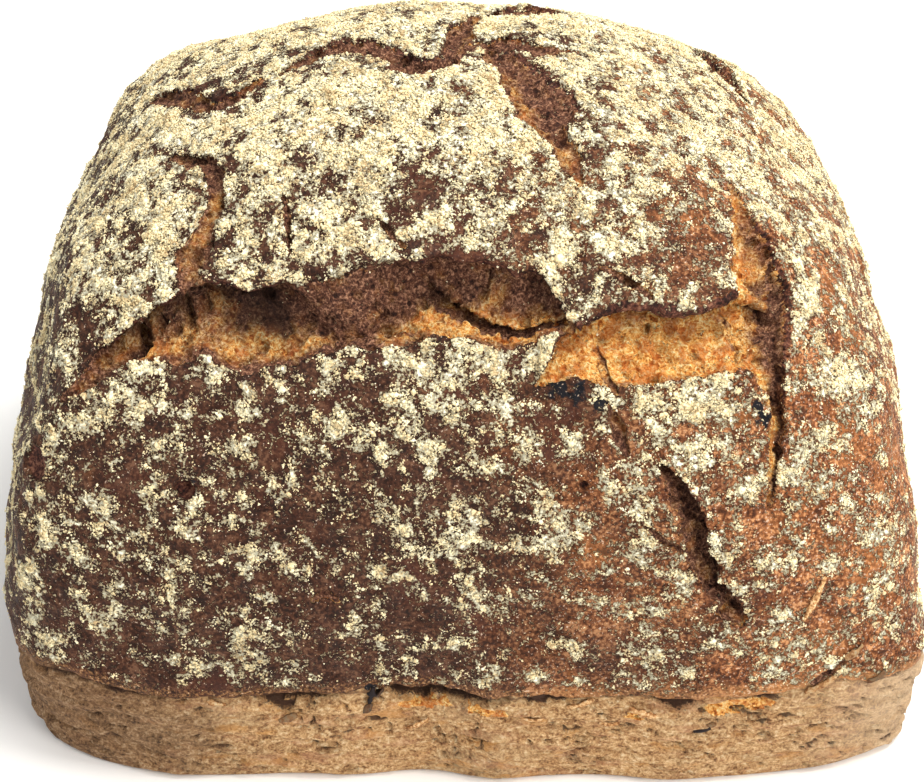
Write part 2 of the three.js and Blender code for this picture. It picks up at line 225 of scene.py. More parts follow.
@dataclass(frozen=True)
class LoafForm:
    """The loaf's overall form in millimetres: a superquadric dome over a straight band.

    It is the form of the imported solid, with a calmer lip along the front, and the shift to the solid's
    own origin is worked out from it.
    """

    half_width: float = 82.5
    half_depth: float = 62.5
    height: float = 114.0
    lip_height: float = 22.0
    tin_corner: float = 7.0
    crown_corner: float = 2.65
    dome_power: float = 2.4
    lean: tuple[float, float] = (-5.5, 2.8)
    band_taper: float = 1.9
    corner_tuck: float = 2.2
    corner_bearing: float = 53.0
    corner_spread: float = 9.0
    lip_undercut: float = 2.2
    front_calm: float = 0.62
    front_spread: float = 62.0
    base_chamfer: float = 0.9
    waves: int = 22
    longest_wave: float = 34.0
    shortest_wave: float = 12.0
    wave_height: float = 0.0055
    band_evenness: float = 0.45
    lumps: tuple[Lump, ...] = (
        Lump(58, -1, 7, 3),
        Lump(-136, 64, 9, -1.5),
        Lump(68, 11, 9, -2),
        Lump(-120, 46, 7, 1.8),
        Lump(-178, 68, 9, 0.9),
        Lump(-66, 27, 7, -2.5),
        Lump(-84, 35, 7, 0.9),
        Lump(-110, 36, 7, -1.6),
        Lump(-65, 4, 7, 0.6),
        Lump(109, 35, 7, -1.3),
        Lump(121, 44, 9, 0.9),
    )
    lip_waves: tuple[LipWave, ...] = (
        LipWave(-36, 9, -1.2),
        LipWave(-51, 7, 2),
        LipWave(-10, 9, 0.7),
        LipWave(-4, 5, 0.7),
        LipWave(18, 6, -0.8),
        LipWave(47, 3, 2.2),
        LipWave(100, 14, -2.5),
        LipWave(150, 18, 2.5),
        LipWave(-90, 12, 3),
        LipWave(-155, 15, -3),
    )
    lip_gaps: tuple[LipWave, ...] = (LipWave(-27, 7, 0.6), LipWave(-4, 10, 0.2), LipWave(34, 8, 0.5))

    @property
    def dome(self) -> float:
        """Height of the dome above the lip."""
        return self.height - self.lip_height

    @property
    def heart(self) -> Array:
        """Where the dome's radii start."""
        return np.array([0.0, 0.0, self.lip_height])

    def unevenness(self, points: Array) -> Array:
        """Even, repeatable unevenness from sine waves in directions spread over a sphere.

        Args:
            points: points from the heart.

        Returns:
            Heights, one a point.
        """
        golden = math.pi * (3.0 - math.sqrt(5.0))
        total = np.zeros(len(points))
        for i in range(self.waves):
            z = 1.0 - 2.0 * (i + 0.5) / self.waves
            ring = math.sqrt(1.0 - z * z)
            way = np.array([ring * math.cos(i * golden), ring * math.sin(i * golden), z])
            share = (i * 7 % self.waves) / self.waves
            length = self.longest_wave * (self.shortest_wave / self.longest_wave) ** share
            phase = 2.0 * math.pi * (points @ way) / length + i * 1.7
            total += self.wave_height * length * np.sin(phase)
        return total

    def lean_at(self, heights: Array) -> Array:
        """How far points at these heights above the heart lean, as rows of x, y and 0."""
        lift = np.clip(heights / self.dome, 0.0, 1.0) ** 2
        return np.stack([self.lean[0] * lift, self.lean[1] * lift, 0.0 * lift], axis=-1)

    def crust(self, ways: Array) -> Array:
        """The dome's surface in unit directions from the heart.

        Args:
            ways: unit directions, one a row.

        Returns:
            Points, one a row.
        """
        up = np.clip(ways[:, 2], 0.0, 1.0)
        power = self.tin_corner + (self.crown_corner - self.tin_corner) * up
        wide = (np.abs(ways[:, 0]) / self.half_width) ** power
        deep = (np.abs(ways[:, 1]) / self.half_depth) ** power
        reach = np.maximum(wide + deep, 1e-30) ** (1.0 / power)
        radius = (reach**self.dome_power + (up / self.dome) ** self.dome_power) ** (-1.0 / self.dome_power)
        for lump in self.lumps:
            cosine = np.clip(ways @ towards(lump.bearing, lump.rise), -1.0, 1.0)
            radius = radius + lump.height * bell(np.arccos(cosine), math.radians(lump.spread))
        points = ways * radius[:, None]
        points = points + ways * self.unevenness(points)[:, None]
        return points + self.lean_at(points[:, 2]) + self.heart

    def aim(self, points: Array) -> Array:
        """Directions from the heart whose crust lies in line with these points."""
        from_heart = points - self.heart
        return unit(from_heart - self.lean_at(from_heart[:, 2]))

    def normals(self, ways: Array) -> Array:
        """Outward normals of the crust in unit directions from the heart.

        Args:
            ways: unit directions, one a row.

        Returns:
            Unit normals, one a row.
        """
        side = np.cross(np.array([0.0, 0.0, 1.0]), ways)
        side[np.linalg.norm(side, axis=1) < 1e-3] = (1.0, 0.0, 0.0)
        side = unit(side)
        over = np.cross(ways, side)
        nudge = 0.02
        steps = [
            self.crust(unit(ways + nudge * way)) - self.crust(unit(ways - nudge * way))
            for way in (side, over)
        ]
        return unit(np.cross(steps[0], steps[1]))

    def rims(self, grid: Array) -> Array:
        """Places in plan for grid places from -1 to 1, spaced evenly in angle on each side."""
        return np.tan(grid * math.pi / 4.0) * np.array([self.half_width, self.half_depth])

    def lip_rise(self, bearings: Array) -> Array:
        """How far the lip lies above its level at these bearings."""
        total = np.zeros(len(bearings))
        for wave in self.lip_waves:
            turn = (bearings - wave.bearing + HALF_TURN) % (2 * HALF_TURN) - HALF_TURN
            total += wave.height * bell(turn, wave.spread)
        return total

    def lip_points(self, rims: Array, lift: float = 0.0) -> Array:
        """The lip in plan directions.

        Args:
            rims: places in plan, one a row, that lie in those directions.
            lift: how far above the lip.

        Returns:
            Points on the dome at the lip's own height there.
        """
        level = np.column_stack([rims, self.lip_rise(bearing_of(rims)) + lift])
        return self.crust(unit(level))

    def cornerness(self, bearings: Array) -> Array:
        """How much of a corner each bearing lies in, 1 in the middle of one."""
        from_corner = 90.0 - np.abs(np.abs(bearings) - 90.0) - self.corner_bearing
        return bell(from_corner, self.corner_spread)

    def overhang(self, bearings: Array) -> Array:
        """How far the crust overhangs the band at these bearings; least along the front."""
        total = self.lip_undercut * (1.0 - self.front_calm * bell(bearings, self.front_spread))
        for gap in self.lip_gaps:
            total += gap.height * bell(bearings - gap.bearing, gap.spread)
        return total

    def shift(self) -> Array:
        """From this form's own origin to the middle of its box at the base, the solid's origin."""
        turn, climb = np.meshgrid(np.linspace(-HALF_TURN, HALF_TURN, 361), np.linspace(0.0, 90.0, 61))
        points = self.crust(towards(turn.ravel(), climb.ravel()))
        middle = (points.min(axis=0) + points.max(axis=0)) / 2.0
        return np.array([-middle[0], -middle[1], 0.0])


# --------------------------------------------------------------- tears


@dataclass(frozen=True)
class Knot:
    """A point of a tear's cross-section.

    share says where across the mouth it starts, from -1 at the lower edge to 1 at the upper. The others
    say where it goes: across in half widths and in undercuts, and down in depths, rim thicknesses or lifts.
    """

    share: float
    half: float
    under: float = 0.0
    depth: float = 0.0
    rim: float = 0.0
    lift: float = 0.0


# The flap above a tear. The rolled section has its own first knot here.
FLAP_KNOTS = (Knot(1.1, 1.06, lift=1.0), Knot(1.35, 1.35, lift=0.6), Knot(1.9, 1.9))

UNDERCUT_SECTION = (
    Knot(-1.06, -1.06),
    Knot(-0.98, -0.97, depth=0.12),
    Knot(-0.8, -0.86, depth=0.3),
    Knot(-0.35, -0.45, depth=0.58),
    Knot(0.1, 0.2, depth=0.84),
    Knot(0.42, 0.75, under=0.5, depth=1.0),
    Knot(0.6, 1.0, under=1.0, depth=0.92),
    Knot(0.74, 1.0, under=0.85, depth=0.66),
    Knot(0.88, 1.0, under=0.35, depth=0.1, rim=1.0),
    Knot(0.98, 1.0, rim=0.55),
    *FLAP_KNOTS,
)

HANGING_SECTION = (
    Knot(-1.06, -1.06),
    Knot(-0.98, -0.98, depth=0.1),
    Knot(-0.8, -0.93, depth=0.3),
    Knot(-0.35, -0.8, depth=0.62),
    Knot(0.1, -0.6, depth=0.86),
    Knot(0.35, -0.38, depth=0.74),
    Knot(0.55, -0.08, depth=0.55),
    Knot(0.72, 0.28, depth=0.42),
    Knot(0.88, 0.7, depth=0.26),
    Knot(0.98, 0.96, depth=0.1),
    *FLAP_KNOTS,
)

ROLLED_SECTION = (
    Knot(-1.06, -1.06),
    Knot(-0.98, -0.97, depth=0.14),
    Knot(-0.8, -0.86, depth=0.36),
    Knot(-0.35, -0.45, depth=0.64),
    Knot(0.1, 0.12, depth=0.86),
    Knot(0.42, 0.6, under=0.3, depth=1.0),
    Knot(0.58, 0.9, under=0.6, depth=0.95),
    Knot(0.68, 0.88, under=0.3, depth=0.6),
    Knot(0.76, 0.76, depth=0.15, rim=0.8),
    Knot(0.84, 0.72, rim=0.35),
    Knot(0.94, 0.8, lift=0.6),
    Knot(1.06, 1.0, lift=1.0),
    *FLAP_KNOTS[1:],
)

# Measures of every tear in millimetres: the least it shrinks to, the half width from which it is ragged
# and undercut in full, the depth where its painted shade is darkest, and how far its ends run past their
# stations.
LEAST_WIDTH = 0.6
LEAST_DEPTH = 0.3
FULL_HALF_WIDTH = 2.5
FULL_SHADE_DEPTH = 7.0
END_SLACK = 0.8

# Square distance over which a tear's nearest steps are averaged.
STEP_BLUR = 1.6

# Where the brim of a burst bubble ends, in radii.
BRIM_REACH = 1.6


@dataclass(frozen=True)
class Station:
    """A point along a tear: its place near the crust, and the tear's size and bake there.

    shelf and wall say how dark the crumb is in the tear's lower half and under its flap, 0 for bright and
    1 for dark red. hang is 0 where the tear runs in under its flap and 1 where its far wall hangs in sight.
    """

    x: float
    y: float
    z: float
    width: float
    depth: float
    shelf: float = 0.5
    wall: float = 0.8
    hang: float = 0.0


@dataclass(frozen=True)
class Tear:
    """A tear in the crust; its upper flap lies to the left of the way it runs."""

    name: str
    undercut: float
    stations: tuple[Station, ...]
    section: tuple[Knot, ...] = UNDERCUT_SECTION
    raggedness: float = 1.0
    rim: float = 1.3
    rim_start: float = 0.76
    rim_reach: float = 1.04
    flap_lift: float = 0.5
    shadow: float = 0.6
    fine: bool = True

    def path(self, form: LoafForm) -> dict[str, Array]:
        """The tear's course over the crust.

        Args:
            form: the loaf that it tears.

        Returns:
            Points, frames and sizes at close steps along it.
        """
        steps = 12
        at = np.array([(s.x, s.y, s.z, s.width, s.depth, s.shelf, s.wall, s.hang) for s in self.stations])
        padded = np.vstack([2 * at[0] - at[1], at, 2 * at[-1] - at[-2]])
        rows = []
        for a, b, c, d in zip(padded, padded[1:], padded[2:], padded[3:]):
            for t in np.arange(steps) / steps:
                bend = (2 * a - 5 * b + 4 * c - d) * t**2 + (3 * b - a - 3 * c + d) * t**3
                rows.append(0.5 * (2 * b + (c - a) * t + bend))
        rows.append(at[-1])
        course = np.array(rows)
        ways = form.aim(course[:, :3])
        points = form.crust(ways)
        out = form.normals(ways)
        along = unit(np.gradient(points, axis=0))
        return {
            "points": points,
            "out": out,
            "along": along,
            "across": unit(np.cross(out, along)),
            "half": np.maximum(course[:, 3], LEAST_WIDTH) / 2.0,
            "depth": np.maximum(course[:, 4], LEAST_DEPTH),
            "shelf": np.clip(course[:, 5], 0.0, 1.0),
            "wall": np.clip(course[:, 6], 0.0, 1.0),
            "hang": np.clip(course[:, 7], 0.0, 1.0),
        }


@dataclass(frozen=True)
class Spot:
    """A round spot on the crust: a burst bubble, a burnt place or a bare or floury patch."""

    x: float
    y: float
    z: float
    radius: float
    amount: float = 1.0

    def distance(self, points: Array) -> Array:
        """Distances from the middle, in radii."""
        return np.linalg.norm(points - np.array([self.x, self.y, self.z]), axis=1) / self.radius

    def weight(self, points: Array) -> Array:
        """How strongly the spot acts at each point."""
        return bell(self.distance(points), 1.0)


@dataclass
class TornSkin:
    """Crust points while tears are folded into them, with the masks that the finishes read."""

    form: LoafForm
    base: Array
    points: Array = field(init=False)
    masks: dict[Mask, Array] = field(init=False)

    def __post_init__(self) -> None:
        """Starts with whole crust."""
        self.points = self.base.copy()
        self.masks = {mask: np.zeros(len(self.base)) for mask in Mask}

    def near(self, path: dict[str, Array], reach: float) -> Array:
        """Indices of the points in a box round a tear's path."""
        low, high = path["points"].min(axis=0) - reach, path["points"].max(axis=0) + reach
        return np.flatnonzero(np.all((self.base > low) & (self.base < high), axis=1))

    def beside(self, tears: tuple[Tear, ...], margin: float) -> Array:
        """Which points lie within a margin of a tear's mouth.

        Args:
            tears: the tears.
            margin: how far beyond a mouth's edge still counts.

        Returns:
            One truth value a point.
        """
        close = np.zeros(len(self.base), bool)
        for tear in tears:
            path = tear.path(self.form)
            near = self.near(path, path["half"].max() * 1.4 + margin)
            if not len(near):
                continue
            gaps = np.linalg.norm(self.base[near][:, None] - path["points"][None], axis=2)
            close[near[(gaps - path["half"][None] * 1.25).min(axis=1) < margin]] = True
        return close

    def fold(self, tear: Tear) -> None:
        """Folds one tear into the skin.

        Args:
            tear: the tear.
        """
        path = tear.path(self.form)
        near = self.near(path, path["half"].max() * 2.0 + 2.0)
        if not len(near):
            return
        spots = self.base[near]
        gaps = spots[:, None, :] - path["points"][None, :, :]
        square = np.einsum("ijk,ijk->ij", gaps, gaps)
        nearest = np.argmin(square, axis=1)
        weights = np.exp(-(square - square.min(axis=1, keepdims=True)) / STEP_BLUR)
        weights /= weights.sum(axis=1, keepdims=True)
        middle = weights @ path["points"]
        out = unit(weights @ path["out"])
        along = unit(weights @ path["along"])
        across = unit(np.cross(out, along))
        half, depth, hang = (weights @ path[name] for name in ("half", "depth", "hang"))
        ends = np.isin(nearest, (0, len(path["points"]) - 1))
        past = np.abs(np.einsum("ij,ij->i", spots - path["points"][nearest], path["along"][nearest])) * ends
        half = half * np.sqrt(np.clip(1.0 - (past / (half + END_SLACK)) ** 2, 0.0, 1.0)) + 1e-3
        aside = np.einsum("ij,ij->i", spots - middle, across)
        wide = np.minimum(1.0, half / FULL_HALF_WIDTH)
        waver = 1.1 * fractal(spots, 4.5, 3, 1.0) + 0.4 * fractal(spots, 1.1, 2, 2.0)
        share = (aside + tear.raggedness * wide * waver) / half
        sizes = {
            "half": half,
            "under": tear.undercut * wide,
            "depth": -depth,
            "rim": -np.minimum(tear.rim, 0.5 * depth),
            "lift": tear.flap_lift * wide,
        }
        sideways, down = self.section(tear.section, share, sizes)
        hung_sideways, hung_down = self.section(HANGING_SECTION, share, sizes)
        sideways = sideways * (1.0 - hang) + hung_sideways * hang
        down = down * (1.0 - hang) + hung_down * hang
        self.points[near] += across * sideways[:, None] + out * down[:, None]
        upper = smooth(share, -0.15, 0.4)
        toast = (weights @ path["shelf"]) * (1.0 - upper) + (weights @ path["wall"]) * upper
        toast += 0.4 * smooth(share, -0.68, -0.98)
        brink = tear.rim_start + 0.1 + 0.08 * hang
        torn = smooth(share, -1.05, -0.97) * smooth(share, brink + 0.06, brink - 0.04)
        # Painted shade for the crumb: darker with depth, and under the flap where the tear runs in beneath
        # it.
        shadow = tear.shadow * wide * (1.0 - hang) * smooth(share, 0.05, 0.5)
        shade = np.maximum(-down * (1.0 - 0.45 * hang) / FULL_SHADE_DEPTH, shadow)
        rim = smooth(share, tear.rim_start, tear.rim_start + 0.08)
        rim *= smooth(share, tear.rim_reach + 0.1, tear.rim_reach) * wide * (1.0 - 0.6 * hang)
        self.deepen(Mask.TORN, near, torn)
        self.deepen(Mask.DARK_EDGE_AND_LIP_SHADE, near, rim)
        self.deepen(Mask.PAINTED_SHADE, near, torn * np.clip(shade, 0.0, 1.0))
        self.masks[Mask.TOAST][near] = np.where(torn > 0.01, toast, self.masks[Mask.TOAST][near])

    @staticmethod
    def section(knots: tuple[Knot, ...], share: Array, sizes: dict[str, Array]) -> tuple[Array, Array]:
        """Where a cross-section sends points.

        Args:
            knots: the section.
            share: where each point starts across the mouth.
            sizes: the sizes that the knots are given in, one a point.

        Returns:
            How far each point moves across and outwards.
        """
        at = np.array([k.share for k in knots])
        step = np.clip(np.searchsorted(at, share) - 1, 0, len(knots) - 2)
        part = np.clip((share - at[step]) / (at[step + 1] - at[step]), 0.0, 1.0)

        def along(name: str) -> Array:
            """The section's own value of one size at each point."""
            values = np.array([getattr(k, name) for k in knots])
            return (values[step] * (1.0 - part) + values[step + 1] * part) * sizes[name]

        inside = (share > at[0]) & (share < at[-1])
        sideways = along("half") + along("under") - share * sizes["half"]
        return sideways * inside, (along("depth") + along("rim") + along("lift")) * inside

    def deepen(self, mask: Mask, near: Array, values: Array) -> None:
        """Raises a mask to these values where they are higher.

        Args:
            mask: which mask.
            near: indices of the points.
            values: their values.
        """
        self.masks[mask][near] = np.maximum(self.masks[mask][near], values)

    def dent(self, spot: Spot, normals: Array) -> None:
        """Sinks a burst bubble with a low brim.

        Args:
            spot: the bubble, with its depth as the amount.
            normals: outward normals of the base points.
        """
        gap = spot.distance(self.base)
        near = gap < BRIM_REACH
        share = np.sqrt(np.clip(1.0 - gap[near] ** 2, 0.0, 1.0))
        brim = 0.12 * spot.amount * bell(gap[near] - 1.15, 0.2)
        self.points[near] += normals[near] * (brim - spot.amount * share)[:, None]
        self.deepen(Mask.DARK_EDGE_AND_LIP_SHADE, np.flatnonzero(near), smooth(gap[near], 1.02, 0.8))


# -------------------------------------------------------------- meshes


def wrapped_box(cells: tuple[int, int, int]) -> bmesh.types.BMesh:
    """A box from -1 to 1 with a grid on every face.

    Args:
        cells: how many cells it has along each axis.

    Returns:
        The box.
    """
    box = bmesh.new()
    bmesh.ops.create_cube(box, size=2.0)
    for axis, count in enumerate(cells):
        along = [e for e in box.edges if abs((e.verts[0].co - e.verts[1].co)[axis]) > 1.0]
        bmesh.ops.subdivide_edges(box, edges=along, cuts=count - 1, use_grid_fill=True)
    return box


def drop_face(box: bmesh.types.BMesh, level: float) -> None:
    """Removes the level faces of a wrapped box at one end.

    Args:
        box: the box.
        level: -1 for its bottom or 1 for its top.
    """
    faces = [f for f in box.faces if all(abs(v.co.z - level) < 1e-4 for v in f.verts)]
    bmesh.ops.delete(box, geom=faces, context="FACES")


def close_holes(shell: bmesh.types.BMesh) -> None:
    """Fills the open ends of a shell, each with one face."""
    rims = [e for e in shell.edges if e.is_boundary]
    bmesh.ops.holes_fill(shell, edges=rims, sides=0)


def places(shell: bmesh.types.BMesh) -> Array:
    """The points of a bmesh, one a row."""
    return np.array([tuple(v.co) for v in shell.verts])


def move_to(shell: bmesh.types.BMesh, points: Array) -> None:
    """Moves the points of a bmesh.

    Args:
        shell: the bmesh.
        points: new places, one a row, in its vertex order.
    """
    for vertex, point in zip(shell.verts, points.tolist()):
        vertex.co = point


def outward_normals(shell: bmesh.types.BMesh, points: Array) -> Array:
    """Vertex normals of a bmesh with its points at these places.

    Args:
        shell: the bmesh, which is moved there.
        points: places, one a row.

    Returns:
        Unit normals, one a row.
    """
    move_to(shell, points)
    shell.normal_update()
    return np.array([tuple(v.normal) for v in shell.verts])


def read(items: bpy.types.bpy_prop_collection, name: str, width: int, kind: type = np.float32) -> Array:
    """Reads one property of every item of a mesh.

    Args:
        items: the items.
        name: the property.
        width: how many numbers it has for each item.
        kind: kind of number.

    Returns:
        The numbers, a row for each item.
    """
    flat = np.empty(len(items) * width, kind)
    items.foreach_get(name, flat)
    return flat.reshape(-1, width)


def as_object(shell: bmesh.types.BMesh, name: str, masks: dict[Mask, Array]) -> bpy.types.Object:
    """Makes an object of a bmesh in millimetres and frees the bmesh.

    Args:
        shell: the bmesh.
        name: name of the piece.
        masks: values for its point attributes, in its vertex order.

    Returns:
        The object, in metres.
    """
    bmesh.ops.recalc_face_normals(shell, faces=shell.faces)
    bmesh.ops.scale(shell, vec=(MM, MM, MM), verts=shell.verts)
    mesh = bpy.data.meshes.new(name)
    shell.to_mesh(mesh)
    shell.free()
    for mask, values in masks.items():
        layer = mesh.attributes.new(mask.value, "FLOAT", "POINT")
        layer.data.foreach_set("value", np.clip(values, 0.0, 1.0).astype(np.float32))
    return linked(mesh)


def linked(mesh: bpy.types.Mesh) -> bpy.types.Object:
    """An object of a smooth-shaded mesh, linked to the scene under the mesh's name."""
    mesh.shade_smooth()
    piece = bpy.data.objects.new(mesh.name, mesh)
    bpy.context.scene.collection.objects.link(piece)
    return piece


def dress(piece: bpy.types.Object, material: bpy.types.Material) -> bpy.types.Object:
    """Gives a piece its finish and ties it to the frame.

    Args:
        piece: the piece.
        material: its finish.

    Returns:
        The piece.
    """
    piece.data.materials.append(material)
    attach(piece, BODY)
    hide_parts(NODE)
    return piece


# -------------------------------------------------- places on the loaf

